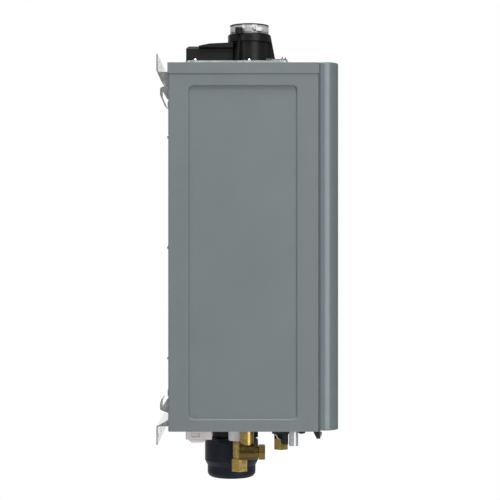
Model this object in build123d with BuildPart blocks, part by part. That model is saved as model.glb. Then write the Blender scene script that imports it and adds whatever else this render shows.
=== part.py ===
from build123d import *
import math
import os

# A wall-hung condensing tankless water heater. The wall is the plane y = 0, the front faces -y and z is up.
# The origin is the middle of the upper bracket's row of wall holes, on the wall.
# A size called depth is measured forward from the back of the case, and one called level up from its bottom.

# Case
case_width = 445
case_depth = 324
case_height = 700
wall_gap = 26
hole_rise = 10
sheet = 1.2
bend_radius = 2
side_flange = 20
skirt_height = 21
floor_flange = 16
pan_edge = 0.8
frame_width = 26
rear_inset = 8
joint_gap = 0.5
overrun = 5

# Pressed field in each side panel and in the rear panel
field_back = 38.5
field_front = 42
field_top = 43
field_bottom = 22
field_radius = 8.5
field_press = 3.6
field_slope = 2
rear_field_margin = 110
rear_field_side = 40

# Screws
screw_radius = 2
screw_head_radius = 4
screw_head_height = 2.2
screw_length = 8
screw_fit = 0.1
thread_gap = 0.3
rear_screw_levels_shares = (0.2, 0.5, 0.8)
rear_screw_inset = 14

# Wall brackets and hooks
bracket_sheet = 2.3
bracket_half = 160
bracket_bend = 3
bracket_rise = 24
bracket_plate_drop = 8
bracket_foot_drop = 35
bracket_foot_reach = 13
bracket_foot_end = 2
gusset_drop = 10.5
wall_hole_radius = 4
wall_hole_spacing = 90
wall_hole_count = 4
wall_slot_length = 14
lower_plate_drop = 33
lower_slot_drop = 18
lower_leg_level = 2.8
lower_leg_rise = 20
lower_gusset_rise = 13
hook_reach = 19
hook_slant = 6
hook_height = 14
hook_lower_tip_share = 0.4
hook_tip_reach = 9.6
hook_tip_drop = 22
hook_leg = 48
hook_half = 28
hook_x = 130
lower_hook_level = 28
wing_drop = 26
wing_foot = 5

# Front cover, its gasket, screws and catches
cover_depth = 37
cover_sheet = 1.2
cover_radius = 29
cover_edge = 2.2
cover_top_rise = 0.5
cover_bottom_rise = 2
cover_lip = 16
gasket_thickness = 1.2
gasket_width = 10
gasket_inset = 1.5
tab_width = 24
tab_length = 15
top_tab_x = 90
bottom_tab_x = 196
tab_screw_drop = 7.5
cover_screw_head_radius = 4.5
cover_screw_head = 3
cover_screw_length = 10
catch_plate = 1.5
catch_depth = 12
catch_tip = 6
catch_foot = 1.5

# Control panel in the front cover
panel_level = 150
bezel_width = 150
bezel_height = 64
bezel_plate = 2.5
bezel_lip = 5
bezel_wall = 2
bezel_tray_depth = 14
bezel_radius = 8
window_width = 66
window_height = 34
window_x = -28
window_fit = 0.15
window_flange = 3
window_flange_sheet = 1
board_sheet = 1.6
key_radius = 6.5
key_gap = 0.3
key_proud = 1.4
key_flange = 1.5
key_flange_sheet = 1.2
key_stem_radius = 2
key_travel = 0.8
key_pitch = 20
key_start_x = 18

# Vent adapter on the top
vent_x = 100
vent_depth = 154
vent_hole_radius = 36
seat_height = 11
seat_edge = 10
seat_rear = 30
seat_front = 229
seat_radius = 8
box_half = 125
box_rear = 30
box_front = 122
box_height = 33
box_wall = 3
box_chamfer = 5
saddle_rise = 6.5
saddle_half = 32
saddle_start = 55
saddle_mid = 76
collar_flange_radius = 44
collar_flange = 4
collar_radius = 38
collar_bore = 31
groove_level = 40.4
groove_height = 1.6
groove_depth = 1.2
rim_radius = 42.5
rim_top = 57.4
rim_edge = 1.5
sleeve_foot = 46
sleeve_radius = 37.5
sleeve_wall = 1.3
sleeve_top = 74
sleeve_fit = 0.1
rib_thickness = 3.5
rib_reach = 52.5
rib_foot = 5
post_x = 42
post_y = 20.6
post_radius = 7
post_top = 66.6
post_bore = 3
post_bore_length = 8
seal_bore = 30.2
seal_length = 13
seal_lip = 2
seal_lip_radius = 38.4
clamp_level = 61
clamp_width = 8
clamp_sheet = 0.9
clamp_slots = 7
clamp_slot_pitch = 6
clamp_slot_width = 1.2
clamp_slot_height = 5
housing_angle = 205
housing_length = 13
housing_rise = 5
clamp_screw_radius = 2.6
clamp_screw_length = 20
clip_x = 132
clip_width = 20
clip_front = 228
clip_rear = 206
clip_screw_inset = 6.5
clip_fit = 0.3
clip_lip = 1.2
clip_lip_rear = 187
vent_screw_radius = 2
vent_screw_head = 5
vent_screw_washer = 0.8
vent_screw_reach = 25
vent_screw_depths = (49, 154)
vent_screw_length = 9

# Heat exchangers, burner and flue
stack_x = -10
stack_half = 115
stack_depth = 120
stack_half_depth = 75
stack_wall = 1.5
burner_level = 200
chamber_top = 330
burner_plate_level = 236
burner_plate = 10
burner_slot_count = 12
burner_slot_width = 5
burner_margin = 14
primary_height = 70
fin_count = 22
fin_sheet = 1
fin_inset = 6
exchanger_tube_radius = 9
exchanger_tube_wall = 1.2
exchanger_tube_rows = 2
exchanger_tube_columns = 3
exchanger_tube_pitch_share = 0.3
exchanger_tube_rise_share = 0.42
header_depth = 12
header_margin = 6
tube_sheet = 3
secondary_height = 116
secondary_tube_radius = 7
secondary_tube_columns = 5
secondary_tube_rows = 4
flue_rise_share = 0.6
flue_radius = 30
hood_wall = 2
exchanger_bracket_width = 24
exchanger_bracket_height = 40
exchanger_bracket_x = 80
upper_bracket_level = 440
lower_bracket_level = 260

# Blower and gas train
blower_x = 30
blower_level = 115
blower_radius = 62
blower_back = 85
blower_width = 50
blower_wall = 2.5
blower_neck_width = 44
wheel_radius = 50
wheel_width = 34
wheel_plate = 2
wheel_blades = 20
wheel_blade_inner_share = 0.76
wheel_blade_sheet = 1.5
wheel_hub_radius = 10
shaft_radius = 4
shaft_fit = 0.05
motor_radius = 34
motor_length = 50
motor_flange_radius = 44
motor_flange = 4
gas_side = 92.5
gas_forward = 31.2
valve_half_x = 24
valve_half_depth = 20
valve_level = 60
valve_height = 86
valve_coil_radius = 13
valve_coil_length = 34
gas_pipe_radius = 8
gas_pipe_bend = 16
gas_inlet_depth = 64
mixer_radius = 28
mixer_bore = 22
mixer_length = 40

# Gas inlet under the case
gas_flange_width = 44
gas_flange_length = 46
gas_flange_drop = 13
gas_flange_corner = 6
gas_flange_shift = 5.4
gas_neck_radius = 13.2
gas_neck_drop = 23.6
gas_bore = 8
gas_bar_width = 12
gas_bar_thickness = 5
gas_bar_drop = 33
gas_nut_flats = 26.4
gas_nut_drop = 45.1
gas_thread_radius = 9.8
clip_wire_radius = 1.1
clip_wire_bend = 2
clip_wire_depth_shares = (0, 0.3, 0.35, 0.75)
clip_wire_drop = 11
clip_wire_width = 12

# Cold water inlet and filter
inlet_x = -95
inlet_depth = 134.7
inlet_tube_radius = 13.4
inlet_hex_flats = 30.4
inlet_hex_top = 68
inlet_bottom = 93
inlet_thread_radius = 12.4
inlet_thread_length = 18
inlet_bore = 9
side_body_drop = 50
side_body_shift = 5
side_body_radius = 15.7
side_body_length = 37.4
side_body_neck = 6
side_body_neck_radius = 13
side_stub_radius = 10
side_stub_length = 9
drain_cap_flats = 28
drain_cap_length = 12.6
drain_cap_floor = 2.5
feed_side = 36
feed_forward = 14.8
feed_radius = 13
link_radius = 12
link_wall = 3
inlet_nut_radius = 20.8
inlet_nut_drop = 32
inlet_nut_grips = 12
nut_grip_radius = 1.2
inlet_nut_collar = 5
manifold_low = 8
manifold_high = 34
manifold_backward = 22.7
manifold_forward = 31.3
manifold_edge = 4
water_pipe_radius = 9
water_pipe_wall = 1.2
water_pipe_bend = 16
sensor_radius = 15
sensor_length = 60
sensor_bore = 11
sensor_port = 7.8
sensor_cap = 4
sensor_box = 8
turbine_gap = 0.4
turbine_length = 14
turbine_hub_radius = 4
turbine_blades = 6
turbine_blade_sheet = 1.2
axle_radius = 1.5
axle_fit = 0.05
spider_arm = 2
spider_thickness = 3
filter_depth = 117.6
head_radius = 40
head_inner_radius = 50
head_top_level = 44
head_drop = 36.5
head_spigot_radius = 34
head_spigot_drop = 56
head_spigot_bore = 24
head_lug_width = 34
head_lug_reach = 54
bowl_radius = 54.4
bowl_top_radius = 47.6
bowl_shoulder_drop = 43.5
bowl_step_drop = 83.5
bowl_step_radius = 49
bowl_step_end_drop = 94
bowl_bottom_drop = 118
bowl_wall = 3
bowl_gap = 0.3
bowl_corner = 14
cartridge_radius = 27
cartridge_cap = 4
cartridge_bore = 12

# Water pipes
cold_turn_level = 150
cold_riser_clear = 28
cold_entry_level = 455
hot_clear = 33
hot_depth = 118
hot_level = 365
hot_drop = 45
hot_thread_radius = 13.3
hot_thread_length = 28
hot_hex_flats = 32

# Condensate trap
trap_side = 12.5
trap_depth = 239
trap_half_x = 25
trap_half_depth = 24
trap_height = 112
trap_corner = 8
spigot_radius = 8.8
spigot_shoulder = 1
spigot_bore = 6
spigot_drop = 31
condensate_radius = 6
condensate_wall = 1.5
condensate_bend = 12
condensate_inset = 25
condensate_level = 412

# Electronics
tray_sheet = 2
tray_wall_height = 34
tray_rear = 60
tray_front = 230
tray_low = 80
tray_high = 270
board_inset = 8
board_stand = 8
relay_size = 18
relay_count = 3
capacitor_radius = 9
capacitor_height = 18
cable_side = 92.5
cable_rear = 30.4
cable_front = 81.1
cable_half = 22
cable_drop = 24
cable_step_rear = 36.9
cable_step_front = 69.2
cable_step_drop = 30.8
cable_chamfer = 5
cable_corner = 3
cable_gland_radius = 6
cable_recess = 1.5
cable_window_rear = 41
cable_window_front = 58
cable_window_high = 11
cable_window_low = 19
plug_shift = 24
plug_forward = 16.4
plug_radius = 6.6
plug_drop = 11
plug_head_radius = 7.3
hole_fit = 0.3

# Places that follow from the sizes
half_width = case_width / 2
panel_half = half_width - sheet
back_y = -wall_gap
front_y = back_y - case_depth
seam_y = front_y + cover_depth
case_top = -hole_rise
case_bottom = case_top - case_height
seat_top = case_top + seat_height
rim_y = seam_y - gasket_thickness
cover_top = case_top + cover_top_rise
cover_bottom = case_bottom + cover_bottom_rise
panel_z = case_bottom + panel_level
vent_screw_x = box_half + vent_screw_reach
seat_half = vent_screw_x + seat_edge
clip_thickness = collar_flange + clip_fit
feed_x = inlet_x - feed_side
side_body_x = feed_x - side_body_shift
feed_depth = inlet_depth + feed_forward
side_body_front = inlet_depth + side_body_length
gas_x = -half_width + gas_side
gas_depth = side_body_front + drain_cap_length + gas_forward
gas_pipe_level = (blower_level + blower_radius + burner_level) / 2
cold_riser_x = stack_x - stack_half - header_depth - cold_riser_clear
hot_x = stack_x + stack_half + header_depth + hot_clear
trap_x = -half_width + trap_side + trap_half_x
condensate_x = stack_x - stack_half + condensate_inset
plug_x = trap_x + plug_shift
plug_depth = trap_depth + plug_forward
cable_x = -half_width + cable_side
wall_hole_places = [
    ((index - (wall_hole_count - 1) / 2) * wall_hole_spacing, 0) for index in range(wall_hole_count)
]
UPRIGHT = (Align.CENTER, Align.CENTER, Align.MIN)


def y_at(depth):
    """The y of a place this far in front of the back of the case."""
    return back_y - depth


def z_at(level):
    """The z of a place this far above the bottom of the case."""
    return case_bottom + level


def slab(x_low, x_high, y_low, y_high, z_low, z_high, mode=Mode.ADD):
    """A block between two corners, joined to or cut from the piece being built."""
    with Locations(((x_low + x_high) / 2, (y_low + y_high) / 2, (z_low + z_high) / 2)):
        Box(x_high - x_low, y_high - y_low, z_high - z_low, mode=mode)


def post(x, y, z_low, z_high, radius, mode=Mode.ADD):
    """An upright cylinder, joined to or cut from the piece being built."""
    with Locations((x, y, z_low)):
        Cylinder(radius, z_high - z_low, align=UPRIGHT, mode=mode)


def bar(x, y_rear, y_front, z, radius, mode=Mode.ADD):
    """A cylinder that runs forward from y_rear to y_front."""
    with Locations(Location((x, y_rear, z), (90, 0, 0))):
        Cylinder(radius, y_rear - y_front, align=UPRIGHT, mode=mode)


def cross_bar(x_low, x_high, y, z, radius, mode=Mode.ADD):
    """A cylinder that runs across the case."""
    with Locations(Location((x_low, y, z), (0, 90, 0))):
        Cylinder(radius, x_high - x_low, align=UPRIGHT, mode=mode)


def turned(x, y, z, outline, mode=Mode.ADD):
    """A body turned about an upright axis, from points of (radius, height above z)."""
    with BuildSketch(Plane(origin=(x, y, z), x_dir=(1, 0, 0), z_dir=(0, -1, 0))) as section:
        with BuildLine():
            Polyline(*outline, close=True)
        make_face()
    revolve(section.sketch, axis=Axis((x, y, z), (0, 0, 1)), mode=mode)


def hexagon(x, y, z_low, z_high, flats):
    """An upright hexagon of the given size across its flats."""
    with BuildSketch(Plane((x, y, z_low))) as outline:
        RegularPolygon(flats / 2, 6, major_radius=False)
    extrude(outline.sketch, amount=z_high - z_low)


def side_profile(points, thickness, radius, half, middle=0):
    """Sheet bent along points of (y, z) on its middle line, and extruded across the case."""
    with BuildSketch(Plane.YZ.offset(middle - half)) as section:
        with BuildLine():
            FilletPolyline(*points, radius=radius)
        trace(line_width=thickness)
    extrude(section.sketch, amount=half * 2)


def side_plate(points, x_low, x_high, mode=Mode.ADD):
    """A flat plate whose outline is a list of points of (y, z)."""
    with BuildSketch(Plane.YZ.offset(x_low)) as section:
        with BuildLine():
            Polyline(*points, close=True)
        make_face()
    extrude(section.sketch, amount=x_high - x_low, mode=mode)


def tube(points, radius, bend, wall):
    """A round tube along straight runs joined by arcs."""
    with BuildLine() as route:
        FilletPolyline(*points, radius=bend)
    wire = route.wires()[0]
    with BuildSketch(Plane(origin=wire @ 0, z_dir=wire % 0)) as section:
        Circle(radius)
        Circle(radius - wall, mode=Mode.SUBTRACT)
    sweep(section.sketch, path=wire)


def field_outline(plane, width, height, radius):
    """A rounded rectangle on the plane."""
    with BuildSketch(plane) as outline:
        RectangleRounded(width, height, radius)
    return outline.sketch


def press_field(plane, width, height):
    """Press a bevelled field inward from a sheet's outer face, which the plane lies on."""
    narrow = 2 * field_slope
    deep_plane = plane.offset(field_press + sheet)
    loft([
        field_outline(plane, width + sheet, height + sheet, field_radius),
        field_outline(deep_plane, width + sheet - narrow, height + sheet - narrow, field_radius),
    ])
    loft([
        field_outline(plane, width, height, field_radius),
        field_outline(plane.offset(field_press), width - narrow, height - narrow, field_radius),
    ], mode=Mode.SUBTRACT)


def save(piece, name):
    """Label a finished piece and write it."""
    piece.part.label = name
    export_step(piece.part, f"parts/{name}.step")


os.makedirs("parts", exist_ok=True)

# Side panels
panel_front_y = seam_y + sheet
panel_back_y = back_y - sheet
field_low_y = seam_y + field_front
field_high_y = back_y - field_back
field_low_z = case_bottom + field_bottom
field_high_z = case_top - field_top
rear_screw_x = panel_half - rear_screw_inset
rear_screw_places = [
    (side * rear_screw_x, case_bottom + share * case_height)
    for side in (-1, 1)
    for share in rear_screw_levels_shares
]


def rear_holes(radius, places):
    """Holes through sheet at the back of the case, at places of (x, z)."""
    for x, z in places:
        bar(x, back_y + overrun, back_y - overrun, z, radius, mode=Mode.SUBTRACT)


with BuildPart() as left_side_panel:
    with BuildSketch(Plane.XY.offset(case_bottom)):
        with BuildLine():
            FilletPolyline(
                (-panel_half + side_flange, panel_back_y),
                (-panel_half, panel_back_y),
                (-panel_half, panel_front_y),
                (-panel_half + side_flange, panel_front_y),
                radius=bend_radius,
            )
            offset(amount=sheet, side=Side.LEFT)
        make_face()
    extrude(amount=case_height - sheet)
    press_field(
        Plane(
            origin=(-panel_half, (field_low_y + field_high_y) / 2, (field_low_z + field_high_z) / 2),
            x_dir=(0, -1, 0),
            z_dir=(1, 0, 0),
        ),
        field_high_y - field_low_y,
        field_high_z - field_low_z,
    )
    # Notches that clear the front walls of the two pans.
    notch_y = panel_front_y + bend_radius + sheet
    slab(-half_width, -panel_half + sheet + side_flange, panel_front_y - overrun, notch_y,
         case_top - skirt_height - joint_gap, case_top, mode=Mode.SUBTRACT)
    slab(-panel_half + sheet, -panel_half + sheet + side_flange, panel_front_y - overrun, notch_y,
         case_bottom - overrun, case_bottom + floor_flange + joint_gap, mode=Mode.SUBTRACT)
    rear_holes(screw_radius + screw_fit, rear_screw_places)
save(left_side_panel, "left_side_panel")

with BuildPart() as right_side_panel:
    mirror(left_side_panel.part, about=Plane.YZ)
save(right_side_panel, "right_side_panel")

# Rear panel
rear_half = panel_half - rear_inset
bracket_foot_z = case_top - bracket_foot_drop
lower_leg_z = z_at(lower_leg_level)
hook_leg_screw_z = bracket_foot_z - hook_leg * 3 / 4
lower_hook_z = z_at(lower_hook_level)
lower_hook_screw_z = lower_hook_z + hook_leg * 3 / 4
lower_leg_screw_z = lower_leg_z + lower_leg_rise / 2 + bracket_sheet / 2
hook_places = [(side * hook_x, level) for side in (-1, 1) for level in (hook_leg_screw_z, lower_hook_screw_z)]
leg_places = [(x, lower_leg_screw_z) for x, _ in wall_hole_places]

with BuildPart() as rear_panel:
    slab(-rear_half, rear_half, back_y - sheet, back_y, case_bottom, case_top - sheet)
    press_field(
        Plane(
            origin=(0, back_y, (case_bottom + case_top) / 2),
            x_dir=(1, 0, 0),
            z_dir=(0, -1, 0),
        ),
        2 * (rear_half - rear_field_side),
        case_height - 2 * rear_field_margin,
    )
    rear_holes(screw_radius + screw_fit, rear_screw_places + hook_places + leg_places)
save(rear_panel, "rear_panel")

# Top panel: a pan whose skirt laps over the sides and the back
with BuildPart() as top_panel:
    slab(-half_width, half_width, panel_front_y, back_y + sheet, case_top - skirt_height, case_top)
    fillet(top_panel.faces().sort_by(Axis.Z)[-1].edges(), radius=pan_edge)
    slab(-panel_half, panel_half, panel_front_y + sheet, back_y,
         case_top - skirt_height - overrun, case_top - sheet, mode=Mode.SUBTRACT)
    for side in (-1, 1):
        post(side * vent_x, y_at(vent_depth), case_top - overrun, case_top + overrun,
             vent_hole_radius, mode=Mode.SUBTRACT)
save(top_panel, "top_panel")

# Bottom panel: a pan between the sides, with a hole for each thing that passes through it
floor_half = panel_half - sheet
floor_holes = [
    (0, filter_depth, head_radius + hole_fit),
    (inlet_x, inlet_depth, inlet_tube_radius + hole_fit),
    (feed_x, feed_depth, feed_radius + hole_fit),
    (hot_x, hot_depth, water_pipe_radius + hole_fit),
    (gas_x, gas_depth, gas_neck_radius + hole_fit),
    (trap_x, trap_depth, spigot_radius + spigot_shoulder + hole_fit),
    (plug_x, plug_depth, plug_radius),
    (cable_x, (cable_step_rear + cable_step_front) / 2, cable_gland_radius + hole_fit),
]
with BuildPart() as bottom_panel:
    slab(-floor_half, floor_half, panel_front_y, panel_back_y - sheet, case_bottom, z_at(floor_flange))
    fillet(bottom_panel.edges().filter_by(Axis.Z), radius=bend_radius)
    slab(-floor_half + sheet, floor_half - sheet, panel_front_y + sheet, panel_back_y - 2 * sheet,
         case_bottom + sheet, z_at(floor_flange) + overrun, mode=Mode.SUBTRACT)
    for x, depth, radius in floor_holes:
        post(x, y_at(depth), case_bottom - overrun, case_bottom + overrun, radius, mode=Mode.SUBTRACT)
    rear_holes(screw_radius + screw_fit, leg_places)
save(bottom_panel, "bottom_panel")

# Front frame: the flat face that the cover's gasket seals on
with BuildPart() as front_frame:
    slab(-half_width, half_width, seam_y, panel_front_y, case_bottom, case_top)
    slab(-half_width + frame_width, half_width - frame_width, seam_y - overrun, panel_front_y + overrun,
         case_bottom + frame_width, case_top - frame_width, mode=Mode.SUBTRACT)
save(front_frame, "front_frame")

# Upper wall bracket: wall plate, slanted web, foot on the hooks and an end gusset each side
foot_y = back_y + bracket_foot_reach
with BuildPart() as top_wall_bracket:
    side_profile(
        [
            (-bracket_sheet / 2, case_top + bracket_rise),
            (-bracket_sheet / 2, case_top - bracket_plate_drop),
            (foot_y, bracket_foot_z + bracket_sheet / 2),
            (back_y + bracket_foot_end, bracket_foot_z + bracket_sheet / 2),
        ],
        bracket_sheet, bracket_bend, bracket_half)
    for side in (-1, 1):
        outer = side * bracket_half
        inner = side * (bracket_half - bracket_sheet)
        side_plate(
            [
                (-bracket_sheet / 2, case_top - gusset_drop),
                (back_y + sheet + joint_gap, case_top - gusset_drop),
                (back_y + sheet + joint_gap, bracket_foot_z + bracket_sheet),
                (foot_y, bracket_foot_z + bracket_sheet),
            ],
            min(outer, inner), max(outer, inner))
    for x, z in wall_hole_places:
        bar(x, overrun, -bracket_sheet - overrun, z, wall_hole_radius, mode=Mode.SUBTRACT)
save(top_wall_bracket, "top_wall_bracket")

# Lower wall bracket: a leg on the case, a shelf out to the wall and a slotted plate below it
slot_z = case_bottom - lower_slot_drop
with BuildPart() as bottom_wall_bracket:
    side_profile(
        [
            (back_y + bracket_sheet / 2, lower_leg_z + lower_leg_rise),
            (back_y + bracket_sheet / 2, lower_leg_z + bracket_sheet / 2),
            (-bracket_sheet / 2, lower_leg_z + bracket_sheet / 2),
            (-bracket_sheet / 2, case_bottom - lower_plate_drop),
        ],
        bracket_sheet, bracket_bend, bracket_half)
    for side in (-1, 1):
        outer = side * bracket_half
        inner = side * (bracket_half - bracket_sheet)
        side_plate(
            [
                (back_y + bracket_sheet, lower_leg_z + lower_gusset_rise),
                (back_y + bracket_sheet, lower_leg_z + bracket_sheet),
                (-bracket_sheet * 2, lower_leg_z + bracket_sheet),
            ],
            min(outer, inner), max(outer, inner))
    for x, _ in wall_hole_places:
        with BuildSketch(Plane(origin=(x, overrun, slot_z), x_dir=(1, 0, 0), z_dir=(0, -1, 0))):
            SlotOverall(wall_slot_length, 2 * wall_hole_radius)
    extrude(amount=2 * overrun + bracket_sheet, mode=Mode.SUBTRACT)
    rear_holes(screw_radius + screw_fit, leg_places)
save(bottom_wall_bracket, "bottom_wall_bracket")


# Hooks behind the case: two carry the upper bracket's foot, two steady the case lower down
def hook(x, start_z, up, tip_share):
    """One hook, whose shelf slants from the case at start_z and whose tip points up or down."""
    leg_y = back_y + bracket_sheet / 2
    nose_y = back_y + hook_reach - bracket_sheet / 2
    shelf_z = start_z - up * bracket_sheet / 2
    bend_z = start_z - up * (hook_slant + hook_height)
    points = [
        (leg_y, start_z - up * hook_leg),
        (leg_y, shelf_z),
        (nose_y, shelf_z - up * hook_slant),
        (nose_y, bend_z),
        (nose_y - (hook_reach - hook_tip_reach) * tip_share, bend_z - up * hook_tip_drop * tip_share),
    ]
    side_profile(points, bracket_sheet, bracket_bend, hook_half, middle=x)
    wing = [
        (back_y + bracket_sheet, start_z - up * bracket_sheet),
        (back_y + hook_reach - bracket_sheet, start_z - up * (bracket_sheet + hook_slant)),
        (back_y + wing_foot, start_z - up * (bracket_sheet + wing_drop)),
        (back_y + bracket_sheet, start_z - up * (bracket_sheet + wing_drop)),
    ]
    outer = x + math.copysign(hook_half, x)
    inner = x + math.copysign(hook_half - bracket_sheet, x)
    side_plate(wing, min(outer, inner), max(outer, inner))


with BuildPart() as wall_hooks:
    for side in (-1, 1):
        hook(side * hook_x, bracket_foot_z, 1, 1)
        hook(side * hook_x, lower_hook_z, -1, hook_lower_tip_share)
    rear_holes(screw_radius + screw_fit, hook_places)
save(wall_hooks, "wall_hooks")

# Screws of the case: each has a round head, and its shank passes through the rear panel
with BuildPart() as case_screws:
    for x, z in rear_screw_places:
        bar(x, back_y + screw_head_height, back_y, z, screw_head_radius)
        bar(x, back_y, back_y - screw_length, z, screw_radius)
    for x, z in hook_places + leg_places:
        bar(x, back_y + bracket_sheet + screw_head_height, back_y + bracket_sheet, z, screw_head_radius)
        bar(x, back_y + bracket_sheet, back_y - screw_length, z, screw_radius)
save(case_screws, "case_screws")

# Front cover: a tray with a rear lip, screw tabs above and below, and a cut-out for the control panel
tab_places = [
    (side * x, up) for up, x in ((1, top_tab_x), (-1, bottom_tab_x)) for side in (-1, 1)
]


def tab_screw_z(up):
    """Height of the row of cover screws above or below the case."""
    return case_top + tab_screw_drop if up > 0 else case_bottom - tab_screw_drop


def plan(low_inset, front_inset, rear_y, radius):
    """The cover's outline seen from above, with its two front corners rounded."""
    with BuildSketch(Plane.XY.offset(cover_bottom + low_inset)) as outline:
        with Locations((0, (front_y + front_inset + rear_y) / 2)):
            Rectangle(case_width - 2 * front_inset, rear_y - front_y - front_inset)
        fillet(outline.vertices().group_by(Axis.Y)[0], radius=radius)
    return outline.sketch


with BuildPart() as front_cover:
    extrude(plan(0, 0, rim_y, cover_radius), amount=cover_top - cover_bottom)
    ends = front_cover.faces().sort_by(Axis.Z)
    fillet(
        ends[0].edges().sort_by(Axis.Y)[:-1] + ends[-1].edges().sort_by(Axis.Y)[:-1],
        radius=cover_edge,
    )
    extrude(
        plan(cover_sheet, cover_sheet, rim_y - cover_sheet, cover_radius - cover_sheet),
        amount=cover_top - cover_bottom - 2 * cover_sheet,
        mode=Mode.SUBTRACT,
    )
    slab(-half_width + cover_lip, half_width - cover_lip, rim_y - 2 * cover_sheet, rim_y + overrun,
         cover_bottom + cover_lip, cover_top - cover_lip, mode=Mode.SUBTRACT)
    for x, up in tab_places:
        tab_root_z = cover_top - cover_lip if up > 0 else cover_bottom + cover_lip
        tab_end_z = case_top + tab_length if up > 0 else case_bottom - tab_length
        slab(x - tab_width / 2, x + tab_width / 2, rim_y - cover_sheet, rim_y,
             min(tab_root_z, tab_end_z), max(tab_root_z, tab_end_z))
        bar(x, rim_y + overrun, rim_y - overrun, tab_screw_z(up), screw_radius + screw_fit,
            mode=Mode.SUBTRACT)
    slab(-bezel_width / 2 + bezel_lip, bezel_width / 2 - bezel_lip, front_y - overrun,
         front_y + cover_sheet + joint_gap, panel_z - bezel_height / 2 + bezel_lip,
         panel_z + bezel_height / 2 - bezel_lip, mode=Mode.SUBTRACT)
save(front_cover, "front_cover")

# Cover gasket
with BuildPart() as cover_gasket:
    gasket_x = half_width - gasket_inset
    gasket_low = cover_bottom + gasket_inset
    gasket_high = case_top - gasket_inset
    slab(-gasket_x, gasket_x, rim_y, seam_y, gasket_low, gasket_high)
    slab(-gasket_x + gasket_width, gasket_x - gasket_width, rim_y - overrun, seam_y + overrun,
         gasket_low + gasket_width, gasket_high - gasket_width, mode=Mode.SUBTRACT)
save(cover_gasket, "cover_gasket")

# Cover screws, which stay in the cover's tabs
tab_face_y = rim_y - cover_sheet
with BuildPart() as cover_screws:
    for x, up in tab_places:
        bar(x, tab_face_y, tab_face_y - cover_screw_head, tab_screw_z(up), cover_screw_head_radius)
        bar(x, tab_face_y + cover_screw_length, tab_face_y, tab_screw_z(up), screw_radius)
save(cover_screws, "cover_screws")

# Cover catches: brackets on the case, one behind each tab, with a hole for the screw
with BuildPart() as cover_catches:
    for x, up in tab_places:
        base_z = case_top if up > 0 else case_bottom
        end_z = base_z + up * tab_length
        foot_z = base_z + up * catch_foot
        catch_rear_y = seam_y + catch_depth
        x_low = x - tab_width / 2
        x_high = x + tab_width / 2
        slab(x_low, x_high, rim_y, rim_y + catch_plate, min(base_z, end_z), max(base_z, end_z))
        slab(x_low, x_high, rim_y, catch_rear_y, min(base_z, foot_z), max(base_z, foot_z))
        cheek = [(rim_y, base_z), (catch_rear_y, base_z), (rim_y + catch_tip, end_z), (rim_y, end_z)]
        side_plate(cheek, x_low, x_low + catch_plate)
        side_plate(cheek, x_high - catch_plate, x_high)
        bar(x, seam_y + catch_depth, rim_y - overrun, tab_screw_z(up), screw_radius + thread_gap,
            mode=Mode.SUBTRACT)
save(cover_catches, "cover_catches")

# Control panel: bezel with a tray behind it, window, board with its display, and three keys
key_places = [(key_start_x + index * key_pitch, panel_z) for index in range(3)]
plate_front_y = front_y - bezel_plate
tray_half_x = bezel_width / 2 - bezel_lip - joint_gap
tray_half_z = bezel_height / 2 - bezel_lip - joint_gap
board_y = front_y + bezel_tray_depth


def on_front(y, x, z, width, height, radius, thickness, mode=Mode.ADD):
    """A rounded plate facing the front, from y back into the case."""
    with BuildSketch(Plane(origin=(x, y, z), x_dir=(-1, 0, 0), z_dir=(0, 1, 0))) as outline:
        RectangleRounded(width, height, radius)
    extrude(outline.sketch, amount=thickness, mode=mode)


with BuildPart() as control_bezel:
    on_front(plate_front_y, 0, panel_z, bezel_width, bezel_height, bezel_radius, bezel_plate)
    bezel_face = control_bezel.faces().sort_by(Axis.Y)[0]
    chamfer(bezel_face.edges(), length=bezel_plate / 2)
    slab(-tray_half_x, tray_half_x, front_y, board_y, panel_z - tray_half_z, panel_z + tray_half_z)
    slab(-tray_half_x + bezel_wall, tray_half_x - bezel_wall, front_y, board_y + overrun,
         panel_z - tray_half_z + bezel_wall, panel_z + tray_half_z - bezel_wall, mode=Mode.SUBTRACT)
    slab(window_x - window_width / 2, window_x + window_width / 2, plate_front_y - overrun,
         front_y + overrun, panel_z - window_height / 2, panel_z + window_height / 2, mode=Mode.SUBTRACT)
    for x, z in key_places:
        bar(x, front_y + overrun, plate_front_y - overrun, z, key_radius + key_gap, mode=Mode.SUBTRACT)
save(control_bezel, "control_bezel")

with BuildPart() as display_window:
    pane_x = window_width / 2 - window_fit
    pane_z = window_height / 2 - window_fit
    slab(window_x - pane_x, window_x + pane_x, plate_front_y + bezel_plate / 5, front_y,
         panel_z - pane_z, panel_z + pane_z)
    slab(window_x - window_width / 2 - window_flange, window_x + window_width / 2 + window_flange,
         front_y, front_y + window_flange_sheet, panel_z - window_height / 2 - window_flange,
         panel_z + window_height / 2 + window_flange)
save(display_window, "display_window")

with BuildPart() as control_pcb:
    slab(-tray_half_x, tray_half_x, board_y, board_y + board_sheet,
         panel_z - tray_half_z, panel_z + tray_half_z)
    slab(window_x - window_width / 2, window_x + window_width / 2, front_y + window_flange_sheet,
         board_y, panel_z - window_height / 2, panel_z + window_height / 2)
save(control_pcb, "control_pcb")

for key_name, (key_centre, key_z) in zip(("down_key", "up_key", "power_key"), key_places):
    with BuildPart() as key:
        flange_y = front_y + key_gap
        stem_y = board_y - key_travel - key_gap
        bar(key_centre, flange_y, plate_front_y - key_proud, key_z, key_radius)
        key_face = key.faces().sort_by(Axis.Y)[0]
        fillet(key_face.edges(), radius=key_proud / 2)
        bar(key_centre, flange_y + key_flange_sheet, flange_y, key_z, key_radius + key_flange)
        bar(key_centre, stem_y, flange_y + key_flange_sheet, key_z, key_stem_radius)
    save(key, key_name)

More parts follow.
